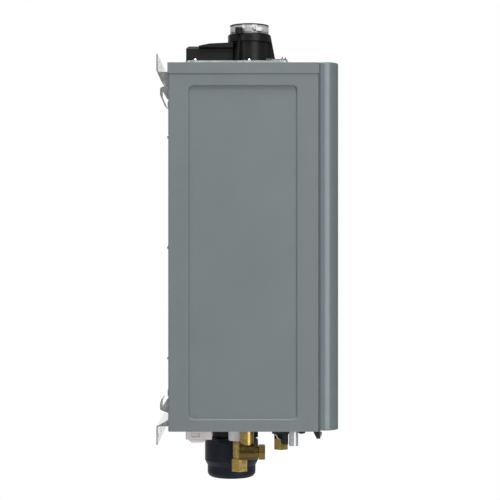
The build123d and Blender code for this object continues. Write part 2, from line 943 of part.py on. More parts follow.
# Vent seat plate: a pressed tray that lifts the vent adapter off the top panel
vent_y = y_at(vent_depth)
seat_mid_y = y_at((seat_rear + seat_front) / 2)
seat_depth = seat_front - seat_rear
vent_screw_places = [(side * vent_screw_x, y_at(depth)) for side in (-1, 1) for depth in vent_screw_depths]
clip_screw_y = y_at(clip_front - clip_screw_inset)
clip_screw_places = [(side * clip_x, clip_screw_y) for side in (-1, 1)]


def seat_outline(z, inset):
    """The seat plate's outline at height z."""
    return field_outline(
        Plane((0, seat_mid_y, z)), 2 * (seat_half - inset), seat_depth - 2 * inset, seat_radius - inset
    )


with BuildPart() as vent_seat_plate:
    extrude(seat_outline(case_top, 0), amount=seat_height)
    extrude(seat_outline(case_top, sheet), amount=seat_height - sheet, mode=Mode.SUBTRACT)
    for side in (-1, 1):
        post(side * vent_x, vent_y, case_top, seat_top + overrun, vent_hole_radius, mode=Mode.SUBTRACT)
    for x, y in vent_screw_places + clip_screw_places:
        post(x, y, case_top, seat_top + overrun, vent_screw_radius + screw_fit, mode=Mode.SUBTRACT)
save(vent_seat_plate, "vent_seat_plate")

# Vent box: the moulded box behind the collars, with a saddle that rises towards each of them
with BuildPart() as vent_box:
    slab(-box_half, box_half, y_at(box_front), y_at(box_rear), seat_top, seat_top + box_height)
    chamfer(vent_box.faces().sort_by(Axis.Z)[-1].edges().sort_by(Axis.Y)[1:], length=box_chamfer)
    for side in (-1, 1):
        side_plate(
            [
                (y_at(saddle_start), seat_top + box_height),
                (y_at(saddle_start), seat_top + box_height - box_wall),
                (y_at(box_front), seat_top + box_height - box_wall),
                (y_at(box_front), seat_top + box_height + saddle_rise),
                (y_at(saddle_mid), seat_top + box_height + saddle_rise * 2 / 3),
            ],
            side * vent_x - saddle_half, side * vent_x + saddle_half)
    slab(-box_half + box_wall, box_half - box_wall, y_at(box_front) + box_wall, y_at(box_rear) - box_wall,
         seat_top - overrun, seat_top + box_height - box_wall, mode=Mode.SUBTRACT)
    for side in (-1, 1):
        post(side * vent_x, vent_y, seat_top, seat_top + collar_flange + joint_gap,
             collar_flange_radius + joint_gap, mode=Mode.SUBTRACT)
        post(side * vent_x, vent_y, seat_top, seat_top + box_height + saddle_rise + overrun,
             collar_radius + joint_gap, mode=Mode.SUBTRACT)
save(vent_box, "vent_box")


# Collars: each has a flange, a groove, a wide rim, three ribs and a sampling post
def collar(side):
    """The exhaust collar at the left, or the intake collar at the right."""
    x = side * vent_x
    turned(x, vent_y, seat_top, [
        (collar_bore, 0),
        (collar_flange_radius, 0),
        (collar_flange_radius, collar_flange),
        (collar_radius, collar_flange),
        (collar_radius, groove_level),
        (collar_radius - groove_depth, groove_level),
        (collar_radius - groove_depth, groove_level + groove_height),
        (rim_radius, groove_level + groove_height),
        (rim_radius, rim_top - rim_edge),
        (rim_radius - rim_edge, rim_top),
        (sleeve_radius + sleeve_fit, rim_top),
        (sleeve_radius + sleeve_fit, sleeve_foot),
        (collar_bore, sleeve_foot),
    ])
    post_angle = math.degrees(math.atan2(post_y, side * post_x))
    for angle in (post_angle, 180 - post_angle, 270):
        rib = Plane(
            origin=(x, vent_y, seat_top),
            x_dir=(math.cos(math.radians(angle)), math.sin(math.radians(angle)), 0),
            z_dir=(math.sin(math.radians(angle)), -math.cos(math.radians(angle)), 0),
        )
        with BuildSketch(rib) as outline:
            with BuildLine():
                Polyline(
                    (collar_radius - groove_depth * 2, collar_flange),
                    (rib_reach, collar_flange),
                    (rib_reach - groove_depth, collar_flange + rib_foot),
                    (rim_radius, rim_top - 2 * rim_edge),
                    (collar_radius - groove_depth * 2, rim_top - 2 * rim_edge),
                    close=True,
                )
            make_face()
        extrude(outline.sketch, amount=rib_thickness / 2, both=True)
    post_centre_x = x + side * post_x
    post_centre_y = vent_y + post_y
    post(post_centre_x, post_centre_y, seat_top + rim_top - 2 * rim_edge, seat_top + post_top, post_radius)
    post(post_centre_x, post_centre_y, seat_top + post_top - post_bore_length, seat_top + post_top + overrun,
         post_bore, mode=Mode.SUBTRACT)
    post(x, vent_y, seat_top - overrun, seat_top + sleeve_foot + overrun, collar_bore, mode=Mode.SUBTRACT)
    post(x, vent_y, seat_top + sleeve_foot, seat_top + post_top + overrun,
         sleeve_radius + sleeve_fit, mode=Mode.SUBTRACT)


with BuildPart() as exhaust_collar:
    collar(-1)
save(exhaust_collar, "exhaust_collar")

with BuildPart() as intake_collar:
    collar(1)
save(intake_collar, "intake_collar")

# Polished sleeves that stand in the collars
with BuildPart() as vent_sleeves:
    for side in (-1, 1):
        turned(side * vent_x, vent_y, seat_top, [
            (sleeve_radius - sleeve_wall, sleeve_foot),
            (sleeve_radius, sleeve_foot),
            (sleeve_radius, sleeve_top),
            (sleeve_radius - sleeve_wall, sleeve_top),
        ])
save(vent_sleeves, "vent_sleeves")

# Rubber seals in the sleeves, each with a lip over the sleeve's edge
with BuildPart() as vent_seals:
    for side in (-1, 1):
        turned(side * vent_x, vent_y, seat_top, [
            (seal_bore, sleeve_top - seal_length),
            (sleeve_radius - sleeve_wall, sleeve_top - seal_length),
            (sleeve_radius - sleeve_wall, sleeve_top),
            (seal_lip_radius, sleeve_top),
            (seal_lip_radius, sleeve_top + seal_lip),
            (seal_bore, sleeve_top + seal_lip),
        ])
save(vent_seals, "vent_seals")

# Worm-drive clamps round the sleeves: a slotted band, a housing on it and the screw in the housing
clamp_low_z = seat_top + clamp_level
clamp_mid_z = clamp_low_z + clamp_width / 2
housing_middle = sleeve_radius + clamp_sheet + housing_rise / 2


def housing_plane(side):
    """Plane at the middle of a clamp's housing, x outward and y along the screw."""
    angle = math.radians(housing_angle if side < 0 else 180 - housing_angle)
    outward = (math.cos(angle), math.sin(angle), 0)
    return Plane(
        origin=(side * vent_x + housing_middle * outward[0], vent_y + housing_middle * outward[1],
                clamp_mid_z),
        x_dir=outward,
        z_dir=(0, 0, 1),
    )


with BuildPart() as vent_clamps:
    for side in (-1, 1):
        x = side * vent_x
        turned(x, vent_y, clamp_low_z, [
            (sleeve_radius, 0),
            (sleeve_radius + clamp_sheet, 0),
            (sleeve_radius + clamp_sheet, clamp_width),
            (sleeve_radius, clamp_width),
        ])
        for index in range(clamp_slots):
            slot_y = vent_y + (index - (clamp_slots - 1) / 2) * clamp_slot_pitch
            slot_x = x + side * sleeve_radius
            slab(slot_x - overrun, slot_x + overrun, slot_y - clamp_slot_width / 2,
                 slot_y + clamp_slot_width / 2, clamp_mid_z - clamp_slot_height / 2,
                 clamp_mid_z + clamp_slot_height / 2, mode=Mode.SUBTRACT)
        with BuildSketch(housing_plane(side).offset(-clamp_width / 2)) as housing:
            Rectangle(housing_rise + clamp_sheet, housing_length)
        extrude(housing.sketch, amount=clamp_width)
        post(x, vent_y, clamp_low_z - overrun, clamp_low_z + clamp_width + overrun, sleeve_radius,
             mode=Mode.SUBTRACT)
        along = housing_plane(side)
        with BuildSketch(Plane(along.origin - along.y_dir * clamp_screw_length / 2,
                               x_dir=along.x_dir, z_dir=along.y_dir)) as screw_end:
            Circle(clamp_screw_radius)
        extrude(screw_end.sketch, amount=clamp_screw_length)
save(vent_clamps, "vent_clamps")

# Clips that hold the collars' flanges down
with BuildPart() as flange_clips:
    for side in (-1, 1):
        x_low = side * clip_x - clip_width / 2
        x_high = side * clip_x + clip_width / 2
        slab(x_low, x_high, y_at(clip_front), y_at(clip_rear), seat_top, seat_top + clip_thickness)
        slab(x_low, x_high, y_at(clip_front), y_at(clip_lip_rear), seat_top + clip_thickness,
             seat_top + clip_thickness + clip_lip)
        post(side * clip_x, clip_screw_y, seat_top - overrun, seat_top + clip_thickness + overrun,
             vent_screw_radius + screw_fit, mode=Mode.SUBTRACT)
save(flange_clips, "flange_clips")


# Domed screws in the seat plate and in the clips
def dome(x, y, z):
    """A round head with a thin straight rim."""
    with BuildSketch(Plane(origin=(x, y, z), x_dir=(1, 0, 0), z_dir=(0, -1, 0))) as section:
        with BuildLine():
            crown = CenterArc((0, vent_screw_washer), vent_screw_head, 0, 90)
            Polyline(crown @ 0, (vent_screw_head, 0), (0, 0), crown @ 1)
        make_face()
    revolve(section.sketch, axis=Axis((x, y, z), (0, 0, 1)))


with BuildPart() as vent_screws:
    clip_top_z = seat_top + clip_thickness + clip_lip
    for places, head_z in ((vent_screw_places, seat_top), (clip_screw_places, clip_top_z)):
        for x, y in places:
            dome(x, y, head_z)
            post(x, y, head_z - vent_screw_length, head_z, vent_screw_radius)
save(vent_screws, "vent_screws")

# Combustion chamber, with the burner's floor in it
stack_left = stack_x - stack_half
stack_right = stack_x + stack_half
stack_rear_y = y_at(stack_depth - stack_half_depth)
stack_front_y = y_at(stack_depth + stack_half_depth)
primary_level = chamber_top
secondary_level = primary_level + primary_height
hood_level = secondary_level + secondary_height
mouth_level = hood_level + flue_rise_share * (case_height - hood_level)
neck_right = blower_x + blower_radius
neck_left = neck_right - blower_neck_width
blower_rear_y = y_at(blower_back)
blower_front_y = y_at(blower_back + blower_width)


def stack_box(level_low, level_high, inset, mode=Mode.ADD):
    """A block the size of the heat exchanger stack, less an inset on each side."""
    slab(stack_left + inset, stack_right - inset, stack_front_y + inset, stack_rear_y - inset,
         z_at(level_low), z_at(level_high), mode=mode)


with BuildPart() as combustion_chamber:
    stack_box(burner_level, chamber_top, 0)
    stack_box(burner_level + stack_wall, chamber_top + overrun, stack_wall, mode=Mode.SUBTRACT)
    slab(neck_left + blower_wall, neck_right - blower_wall, blower_front_y + blower_wall,
         blower_rear_y - blower_wall, z_at(burner_level) - overrun, z_at(burner_level) + overrun,
         mode=Mode.SUBTRACT)
save(combustion_chamber, "combustion_chamber")

# Burner: a slotted plate across the chamber
with BuildPart() as burner:
    stack_box(burner_plate_level, burner_plate_level + burner_plate, stack_wall)
    burner_length = 2 * (stack_half - stack_wall - burner_margin)
    with BuildSketch(Plane((stack_x, y_at(stack_depth), z_at(burner_plate_level)))):
        with GridLocations(burner_length / burner_slot_count, 0, burner_slot_count, 1):
            Rectangle(burner_slot_width, 2 * (stack_half_depth - stack_wall - burner_margin))
    extrude(amount=burner_plate, mode=Mode.SUBTRACT)
save(burner, "burner")

# Primary heat exchanger: a casing with a header at each end, fins and the tubes through them
primary_mid_z = z_at(primary_level + primary_height / 2)


def headers(level_low, level_high):
    """A header box at each end of the stack."""
    low_y = stack_front_y + header_margin
    high_y = stack_rear_y - header_margin
    slab(stack_left - header_depth, stack_left, low_y, high_y,
         z_at(level_low) + header_margin, z_at(level_high) - header_margin)
    slab(stack_right, stack_right + header_depth, low_y, high_y,
         z_at(level_low) + header_margin, z_at(level_high) - header_margin)


def across(y, z):
    """Plane at the left end of the stack that faces across the case."""
    return Plane(origin=(stack_left + stack_wall / 2, y, z), x_dir=(0, 1, 0), z_dir=(1, 0, 0))


with BuildPart() as primary_heat_exchanger:
    stack_box(primary_level, secondary_level, 0)
    stack_box(primary_level - overrun, secondary_level + overrun, stack_wall, mode=Mode.SUBTRACT)
    headers(primary_level, secondary_level)
    fin_pitch = 2 * stack_half / (fin_count + 1)
    for index in range(fin_count):
        fin_x = stack_left + (index + 1) * fin_pitch
        slab(fin_x - fin_sheet / 2, fin_x + fin_sheet / 2, stack_front_y + stack_wall / 2,
             stack_rear_y - stack_wall / 2, z_at(primary_level + fin_inset),
             z_at(secondary_level - fin_inset))
    tube_length = 2 * stack_half - stack_wall
    for tube_size, tube_mode in ((exchanger_tube_radius, Mode.ADD),
                                 (exchanger_tube_radius - exchanger_tube_wall, Mode.SUBTRACT)):
        with BuildSketch(across(y_at(stack_depth), primary_mid_z)):
            with GridLocations(2 * stack_half_depth * exchanger_tube_pitch_share,
                               primary_height * exchanger_tube_rise_share,
                               exchanger_tube_columns, exchanger_tube_rows):
                Circle(tube_size)
        extrude(amount=tube_length, mode=tube_mode)
save(primary_heat_exchanger, "primary_heat_exchanger")

# Secondary heat exchanger casing
with BuildPart() as secondary_heat_exchanger:
    stack_box(secondary_level, hood_level, 0)
    stack_box(secondary_level - overrun, hood_level + overrun, stack_wall, mode=Mode.SUBTRACT)
    headers(secondary_level, hood_level)
save(secondary_heat_exchanger, "secondary_heat_exchanger")

# Secondary tubes between two tube sheets
with BuildPart() as secondary_tubes:
    sheet_left = stack_left + stack_wall
    sheet_right = stack_right - stack_wall
    secondary_mid_z = z_at(secondary_level + secondary_height / 2)
    for x_low, x_high in ((sheet_left, sheet_left + tube_sheet), (sheet_right - tube_sheet, sheet_right)):
        slab(x_low, x_high, stack_front_y + stack_wall, stack_rear_y - stack_wall,
             z_at(secondary_level), z_at(hood_level))
    for tube_size, tube_mode in ((secondary_tube_radius, Mode.ADD),
                                 (secondary_tube_radius - exchanger_tube_wall, Mode.SUBTRACT)):
        with BuildSketch(across(y_at(stack_depth), secondary_mid_z).offset(stack_wall / 2)):
            with GridLocations(2 * stack_half_depth / (secondary_tube_columns + 1),
                               secondary_height / (secondary_tube_rows + 1),
                               secondary_tube_columns, secondary_tube_rows):
                Circle(tube_size)
        extrude(amount=sheet_right - sheet_left, mode=tube_mode)
save(secondary_tubes, "secondary_tubes")


# Flue hood: gathers the flue gas into a round pipe that ends in the exhaust collar
def hood_loft(inset, mode=Mode.ADD):
    """The hood's outside, or its inside when inset by the wall."""
    with BuildSketch(Plane((stack_x, y_at(stack_depth), z_at(hood_level)))) as foot:
        Rectangle(2 * (stack_half - inset), 2 * (stack_half_depth - inset))
    with BuildSketch(Plane((-vent_x, vent_y, z_at(mouth_level)))) as mouth:
        Circle(flue_radius - inset)
    loft([foot.sketch, mouth.sketch], mode=mode)


with BuildPart() as flue_hood:
    hood_loft(0)
    post(-vent_x, vent_y, z_at(mouth_level), seat_top + collar_flange, flue_radius)
    hood_loft(hood_wall, mode=Mode.SUBTRACT)
    post(-vent_x, vent_y, z_at(mouth_level), seat_top + collar_flange + overrun,
         flue_radius - hood_wall, mode=Mode.SUBTRACT)
save(flue_hood, "flue_hood")

# Brackets that carry the stack on the rear panel
bracket_rear_y = back_y - field_press - sheet
with BuildPart() as exchanger_brackets:
    for x in (stack_x - exchanger_bracket_x, stack_x + exchanger_bracket_x):
        for level in (lower_bracket_level, upper_bracket_level):
            x_low = x - exchanger_bracket_width / 2
            x_high = x + exchanger_bracket_width / 2
            top_z = z_at(level + exchanger_bracket_height)
            slab(x_low, x_high, bracket_rear_y - bracket_sheet, bracket_rear_y, z_at(level), top_z)
            slab(x_low, x_high, stack_rear_y, stack_rear_y + bracket_sheet, z_at(level), top_z)
            slab(x_low, x_low + bracket_sheet, stack_rear_y, bracket_rear_y, z_at(level), top_z)
save(exchanger_brackets, "exchanger_brackets")

# Blower housing: a scroll with its outlet up to the chamber and the mixing tube behind its eye
blower_z = z_at(blower_level)
mixer_rear_y = blower_rear_y + mixer_length
with BuildPart() as blower_housing:
    bar(blower_x, blower_rear_y, blower_front_y, blower_z, blower_radius)
    slab(neck_left, neck_right, blower_front_y, blower_rear_y, blower_z, z_at(burner_level))
    bar(blower_x, mixer_rear_y, blower_rear_y, blower_z, mixer_radius)
    bar(blower_x, blower_rear_y - blower_wall, blower_front_y + blower_wall, blower_z,
        blower_radius - blower_wall, mode=Mode.SUBTRACT)
    slab(neck_left + blower_wall, neck_right - blower_wall, blower_front_y + blower_wall,
         blower_rear_y - blower_wall, blower_z, z_at(burner_level) + overrun, mode=Mode.SUBTRACT)
    bar(blower_x, mixer_rear_y + overrun, blower_rear_y - overrun, blower_z, mixer_bore,
        mode=Mode.SUBTRACT)
    bar(blower_x, blower_front_y + overrun, blower_front_y - overrun, blower_z,
        wheel_hub_radius + blower_wall, mode=Mode.SUBTRACT)
    post(blower_x, y_at(gas_inlet_depth), blower_z + mixer_bore / 2, blower_z + mixer_radius + overrun,
         gas_pipe_radius - water_pipe_wall, mode=Mode.SUBTRACT)
save(blower_housing, "blower_housing")

# Blower wheel on its shaft
wheel_rear_y = (blower_rear_y + blower_front_y + wheel_width) / 2
wheel_front_y = wheel_rear_y - wheel_width
motor_front_y = blower_front_y - motor_flange - motor_length
shaft_end_y = motor_front_y + motor_flange


def blower_plane(y):
    """Plane across the blower's axis that faces forward."""
    return Plane(origin=(blower_x, y, blower_z), x_dir=(-1, 0, 0), z_dir=(0, -1, 0))


with BuildPart() as blower_wheel:
    bar(blower_x, wheel_rear_y, wheel_front_y, blower_z, wheel_hub_radius)
    bar(blower_x, wheel_front_y + wheel_plate, wheel_front_y, blower_z, wheel_radius)
    blade_length = wheel_radius * (1 - wheel_blade_inner_share)
    with BuildSketch(blower_plane(wheel_rear_y)):
        with PolarLocations(wheel_radius - blade_length / 2, wheel_blades):
            Rectangle(blade_length - wheel_blade_sheet, wheel_blade_sheet)
    extrude(amount=wheel_width)
    with BuildSketch(blower_plane(wheel_rear_y)):
        Circle(wheel_radius)
        Circle(wheel_radius - blade_length, mode=Mode.SUBTRACT)
    extrude(amount=wheel_plate)
    bar(blower_x, wheel_front_y, shaft_end_y, blower_z, shaft_radius)
save(blower_wheel, "blower_wheel")

# Blower motor
with BuildPart() as blower_motor:
    bar(blower_x, blower_front_y, blower_front_y - motor_flange, blower_z, motor_flange_radius)
    bar(blower_x, blower_front_y - motor_flange, motor_front_y, blower_z, motor_radius)
    fillet(blower_motor.faces().sort_by(Axis.Y)[0].edges(), radius=motor_flange)
    bar(blower_x, blower_front_y + overrun, shaft_end_y - joint_gap, blower_z,
        shaft_radius + shaft_fit, mode=Mode.SUBTRACT)
save(blower_motor, "blower_motor")

# Gas valve with its two coils
gas_y = y_at(gas_depth)
valve_top_level = valve_level + valve_height
with BuildPart() as gas_valve:
    slab(gas_x - valve_half_x, gas_x + valve_half_x, gas_y - valve_half_depth, gas_y + valve_half_depth,
         z_at(valve_level), z_at(valve_top_level))
    fillet(gas_valve.edges().filter_by(Axis.Z), radius=valve_coil_radius / 3)
    for share in (1 / 4, 3 / 4):
        bar(gas_x, gas_y - valve_half_depth, gas_y - valve_half_depth - valve_coil_length,
            z_at(valve_level + share * valve_height), valve_coil_radius)
    post(gas_x, gas_y, z_at(valve_level) - overrun, z_at(valve_top_level) + overrun,
         gas_pipe_radius - water_pipe_wall, mode=Mode.SUBTRACT)
save(gas_valve, "gas_valve")

# Gas pipe from the valve to the mixing tube
with BuildPart() as gas_pipe:
    tube(
        [
            (gas_x, gas_y, z_at(valve_top_level)),
            (gas_x, gas_y, z_at(gas_pipe_level)),
            (blower_x, gas_y, z_at(gas_pipe_level)),
            (blower_x, y_at(gas_inlet_depth), z_at(gas_pipe_level)),
            (blower_x, y_at(gas_inlet_depth), blower_z + mixer_radius),
        ],
        gas_pipe_radius, gas_pipe_bend, water_pipe_wall)
save(gas_pipe, "gas_pipe")

# Gas inlet: a dark flange under the case and the neck that passes up to the valve
with BuildPart() as gas_inlet:
    slab(gas_x - gas_flange_width / 2, gas_x + gas_flange_width / 2,
         gas_y - gas_flange_length / 2 - gas_flange_shift, gas_y + gas_flange_length / 2 - gas_flange_shift,
         case_bottom - gas_flange_drop, case_bottom)
    fillet(gas_inlet.edges().filter_by(Axis.Z), radius=gas_flange_corner)
    post(gas_x, gas_y, case_bottom - gas_neck_drop, case_bottom, gas_neck_radius)
    post(gas_x, gas_y, case_bottom, z_at(valve_level), gas_neck_radius)
    bar_x = gas_x - gas_flange_width / 2
    bar_rear_y = gas_y - gas_flange_shift / 3
    slab(bar_x, bar_x + gas_bar_thickness, bar_rear_y - gas_bar_width, bar_rear_y,
         case_bottom - gas_bar_drop, case_bottom - gas_flange_drop)
    post(gas_x, gas_y, case_bottom - gas_neck_drop - overrun, z_at(valve_level) + overrun, gas_bore,
         mode=Mode.SUBTRACT)
save(gas_inlet, "gas_inlet")

with BuildPart() as gas_nut:
    hexagon(gas_x, gas_y, case_bottom - gas_nut_drop, case_bottom - gas_neck_drop, gas_nut_flats)
    post(gas_x, gas_y, case_bottom - gas_nut_drop - overrun, case_bottom, gas_thread_radius,
         mode=Mode.SUBTRACT)
save(gas_nut, "gas_nut")

# Wire clip that hangs beside the gas neck
clip_wire_x = gas_x - gas_nut_flats / math.sqrt(3) - clip_wire_radius - joint_gap
clip_top_z = case_bottom - gas_flange_drop
clip_rise = clip_wire_drop / (len(clip_wire_depth_shares) - 1)
with BuildPart() as retaining_clip:
    with BuildLine(Plane.YZ.offset(clip_wire_x)) as clip_path:
        FilletPolyline(
            *[
                (gas_y + gas_neck_radius - share * clip_wire_width - clip_wire_radius, clip_top_z - index * clip_rise)
                for index, share in enumerate(clip_wire_depth_shares)
            ],
            radius=clip_wire_bend,
        )
    clip_wire = clip_path.wires()[0]
    with BuildSketch(Plane(origin=clip_wire @ 0, z_dir=clip_wire % 0)) as wire_section:
        Circle(clip_wire_radius)
    sweep(wire_section.sketch, path=clip_wire)
    slab(clip_wire_x - overrun, clip_wire_x + overrun, gas_y - overrun - gas_neck_radius,
         gas_y + gas_neck_radius + overrun, clip_top_z, clip_top_z + overrun, mode=Mode.SUBTRACT)
save(retaining_clip, "retaining_clip")

# Inlet valve: a brass body with the main tube, the feed tube to the filter, the side port and a link
inlet_y = y_at(inlet_depth)
feed_y = y_at(feed_depth)
side_z = case_bottom - side_body_drop
side_front_y = y_at(side_body_front)
manifold_low_z = z_at(manifold_low)
with BuildPart() as inlet_valve:
    post(inlet_x, inlet_y, case_bottom - inlet_hex_top, manifold_low_z, inlet_tube_radius)
    hexagon(inlet_x, inlet_y, case_bottom - inlet_bottom, case_bottom - inlet_hex_top, inlet_hex_flats)
    bar(side_body_x, inlet_y, side_front_y + side_body_neck, side_z, side_body_radius)
    bar(side_body_x, inlet_y, side_front_y, side_z, side_body_neck_radius)
    bar(side_body_x, inlet_y, side_front_y - side_stub_length, side_z, side_stub_radius)
    post(feed_x, feed_y, side_z, manifold_low_z, feed_radius)
    cross_bar(feed_x, inlet_x, feed_y, side_z, link_radius)
    post(inlet_x, inlet_y, case_bottom - inlet_bottom - overrun, manifold_low_z + overrun, inlet_bore,
         mode=Mode.SUBTRACT)
    post(inlet_x, inlet_y, case_bottom - inlet_bottom - overrun,
         case_bottom - inlet_bottom + inlet_thread_length, inlet_thread_radius, mode=Mode.SUBTRACT)
    bar(side_body_x, inlet_y - link_wall, side_front_y - side_stub_length - overrun, side_z,
        side_stub_radius - water_pipe_wall * 2, mode=Mode.SUBTRACT)
    post(feed_x, feed_y, side_z, manifold_low_z + overrun, inlet_bore, mode=Mode.SUBTRACT)
    cross_bar(feed_x, inlet_x - link_wall, feed_y, side_z, link_radius - link_wall, mode=Mode.SUBTRACT)
save(inlet_valve, "inlet_valve")

with BuildPart() as inlet_nut:
    post(inlet_x, inlet_y, case_bottom - inlet_nut_drop, case_bottom, inlet_nut_radius)
    with BuildSketch(Plane((inlet_x, inlet_y, case_bottom - inlet_nut_drop))):
        with PolarLocations(inlet_nut_radius, inlet_nut_grips):
            Circle(nut_grip_radius)
    extrude(amount=inlet_nut_drop - inlet_nut_collar)
    post(inlet_x, inlet_y, case_bottom - inlet_nut_drop - overrun, case_bottom + overrun,
         inlet_tube_radius + screw_fit, mode=Mode.SUBTRACT)
save(inlet_nut, "inlet_nut")

with BuildPart() as drain_cap:
    cap_rear_y = side_front_y - thread_gap
    with BuildSketch(Plane(origin=(side_body_x, cap_rear_y, side_z), x_dir=(1, 0, 0), z_dir=(0, -1, 0))):
        RegularPolygon(drain_cap_flats / 2, 6, major_radius=False)
    extrude(amount=drain_cap_length - thread_gap)
    chamfer(drain_cap.faces().sort_by(Axis.Y)[0].edges(), length=drain_cap_floor / 2)
    bar(side_body_x, cap_rear_y + overrun, side_front_y - side_stub_length - thread_gap, side_z,
        side_stub_radius + thread_gap, mode=Mode.SUBTRACT)
save(drain_cap, "drain_cap")

# Filter head: it stands on the floor of the case, with the inlet manifold at its left
filter_y = y_at(filter_depth)
head_low_z = case_bottom - head_drop
manifold_high_z = z_at(manifold_high)
with BuildPart() as filter_head:
    post(0, filter_y, case_bottom + sheet, z_at(head_top_level), head_inner_radius)
    post(0, filter_y, head_low_z, case_bottom + sheet, head_radius)
    post(0, filter_y, case_bottom - head_spigot_drop, head_low_z, head_spigot_radius)
    slab(-head_lug_width / 2, head_lug_width / 2, filter_y - head_lug_reach, filter_y,
         head_low_z, case_bottom)
    slab(feed_x - feed_radius - manifold_edge, 0, inlet_y - manifold_forward,
         inlet_y + manifold_backward, manifold_low_z, manifold_high_z)
    post(inlet_x, inlet_y, manifold_low_z + water_pipe_wall * 2, manifold_high_z + overrun, sensor_port,
         mode=Mode.SUBTRACT)
    post(feed_x, feed_y, manifold_low_z - overrun, manifold_high_z - water_pipe_wall * 2, inlet_bore,
         mode=Mode.SUBTRACT)
    post(0, filter_y, case_bottom - head_spigot_drop - overrun, case_bottom, head_spigot_bore,
         mode=Mode.SUBTRACT)
save(filter_head, "filter_head")

# Filter bowl: twists on the head's spigot
bowl_top_drop = head_drop + bowl_gap
with BuildPart() as filter_bowl:
    turned(0, filter_y, case_bottom, [
        (0, -bowl_bottom_drop),
        (bowl_step_radius, -bowl_bottom_drop),
        (bowl_step_radius, -bowl_step_end_drop),
        (bowl_radius, -bowl_step_drop),
        (bowl_radius, -bowl_shoulder_drop),
        (bowl_top_radius, -bowl_top_drop),
        (head_spigot_radius + bowl_gap, -bowl_top_drop),
        (head_spigot_radius + bowl_gap, -bowl_shoulder_drop + bowl_wall),
        (bowl_radius - bowl_wall, -bowl_shoulder_drop - bowl_wall),
        (bowl_radius - bowl_wall, -bowl_step_drop),
        (bowl_step_radius - bowl_wall, -bowl_step_end_drop),
        (bowl_step_radius - bowl_wall, -bowl_bottom_drop + bowl_corner),
        (bowl_step_radius - bowl_corner, -bowl_bottom_drop + bowl_wall),
        (0, -bowl_bottom_drop + bowl_wall),
    ])
    fillet(filter_bowl.edges().group_by(Axis.Z)[0], radius=bowl_corner - bowl_wall)
save(filter_bowl, "filter_bowl")

# Filter cartridge, which stands on the bowl's floor
cartridge_low_z = case_bottom - bowl_bottom_drop + bowl_wall
cartridge_high_z = case_bottom - head_spigot_drop - cartridge_cap
with BuildPart() as filter_cartridge:
    post(0, filter_y, cartridge_low_z, cartridge_high_z, cartridge_radius - cartridge_cap)
    post(0, filter_y, cartridge_low_z, cartridge_low_z + cartridge_cap, cartridge_radius)
    post(0, filter_y, cartridge_high_z - cartridge_cap, cartridge_high_z, cartridge_radius)
    post(0, filter_y, cartridge_low_z + cartridge_cap, cartridge_high_z + overrun, cartridge_bore,
         mode=Mode.SUBTRACT)
save(filter_cartridge, "filter_cartridge")

# Flow sensor: a tube on the manifold with a spider below and above the turbine
sensor_low_z = manifold_high_z
sensor_high_z = sensor_low_z + sensor_length
turbine_low_z = sensor_low_z + (sensor_length - turbine_length) / 2
turbine_high_z = turbine_low_z + turbine_length
with BuildPart() as flow_sensor:
    post(inlet_x, inlet_y, sensor_low_z, sensor_high_z, sensor_radius)
    post(inlet_x, inlet_y, sensor_low_z - overrun, sensor_high_z - sensor_cap, sensor_bore,
         mode=Mode.SUBTRACT)
    post(inlet_x, inlet_y, sensor_high_z - sensor_cap, sensor_high_z + overrun, sensor_port,
         mode=Mode.SUBTRACT)
    for spider_low_z in (turbine_low_z - turbine_gap - spider_thickness, turbine_high_z + turbine_gap):
        for length_x, length_y in ((2 * sensor_radius - spider_arm, spider_arm),
                                   (spider_arm, 2 * sensor_radius - spider_arm)):
            slab(inlet_x - length_x / 2, inlet_x + length_x / 2, inlet_y - length_y / 2,
                 inlet_y + length_y / 2, spider_low_z, spider_low_z + spider_thickness)
        post(inlet_x, inlet_y, spider_low_z, spider_low_z + spider_thickness,
             axle_radius + spider_arm)
        post(inlet_x, inlet_y, spider_low_z, spider_low_z + spider_thickness,
             axle_radius + axle_fit, mode=Mode.SUBTRACT)
    slab(inlet_x + sensor_radius - spider_arm, inlet_x + sensor_radius + sensor_box, inlet_y - sensor_box,
         inlet_y + sensor_box, turbine_low_z, turbine_high_z)
    post(inlet_x, inlet_y, turbine_low_z, turbine_high_z, sensor_bore, mode=Mode.SUBTRACT)
save(flow_sensor, "flow_sensor")

with BuildPart() as flow_turbine:
    post(inlet_x, inlet_y, turbine_low_z, turbine_high_z, turbine_hub_radius)
    blade_reach = sensor_bore - turbine_gap
    with BuildSketch(Plane((inlet_x, inlet_y, turbine_low_z))):
        with PolarLocations(blade_reach / 2, turbine_blades):
            Rectangle(blade_reach, turbine_blade_sheet)
        with Locations((0, 0)):
            Circle(blade_reach, mode=Mode.INTERSECT)
    extrude(amount=turbine_length)
    post(inlet_x, inlet_y, turbine_low_z - turbine_gap - spider_thickness,
         turbine_high_z + turbine_gap + spider_thickness, axle_radius)
save(flow_turbine, "flow_turbine")

# Cold pipe from the flow sensor up to the secondary heat exchanger
with BuildPart() as cold_pipe:
    tube(
        [
            (inlet_x, inlet_y, sensor_high_z),
            (inlet_x, inlet_y, z_at(cold_turn_level)),
            (cold_riser_x, inlet_y, z_at(cold_turn_level)),
            (cold_riser_x, inlet_y, z_at(cold_entry_level)),
            (stack_left - header_depth, inlet_y, z_at(cold_entry_level)),
        ],
        water_pipe_radius, water_pipe_bend, water_pipe_wall)
save(cold_pipe, "cold_pipe")

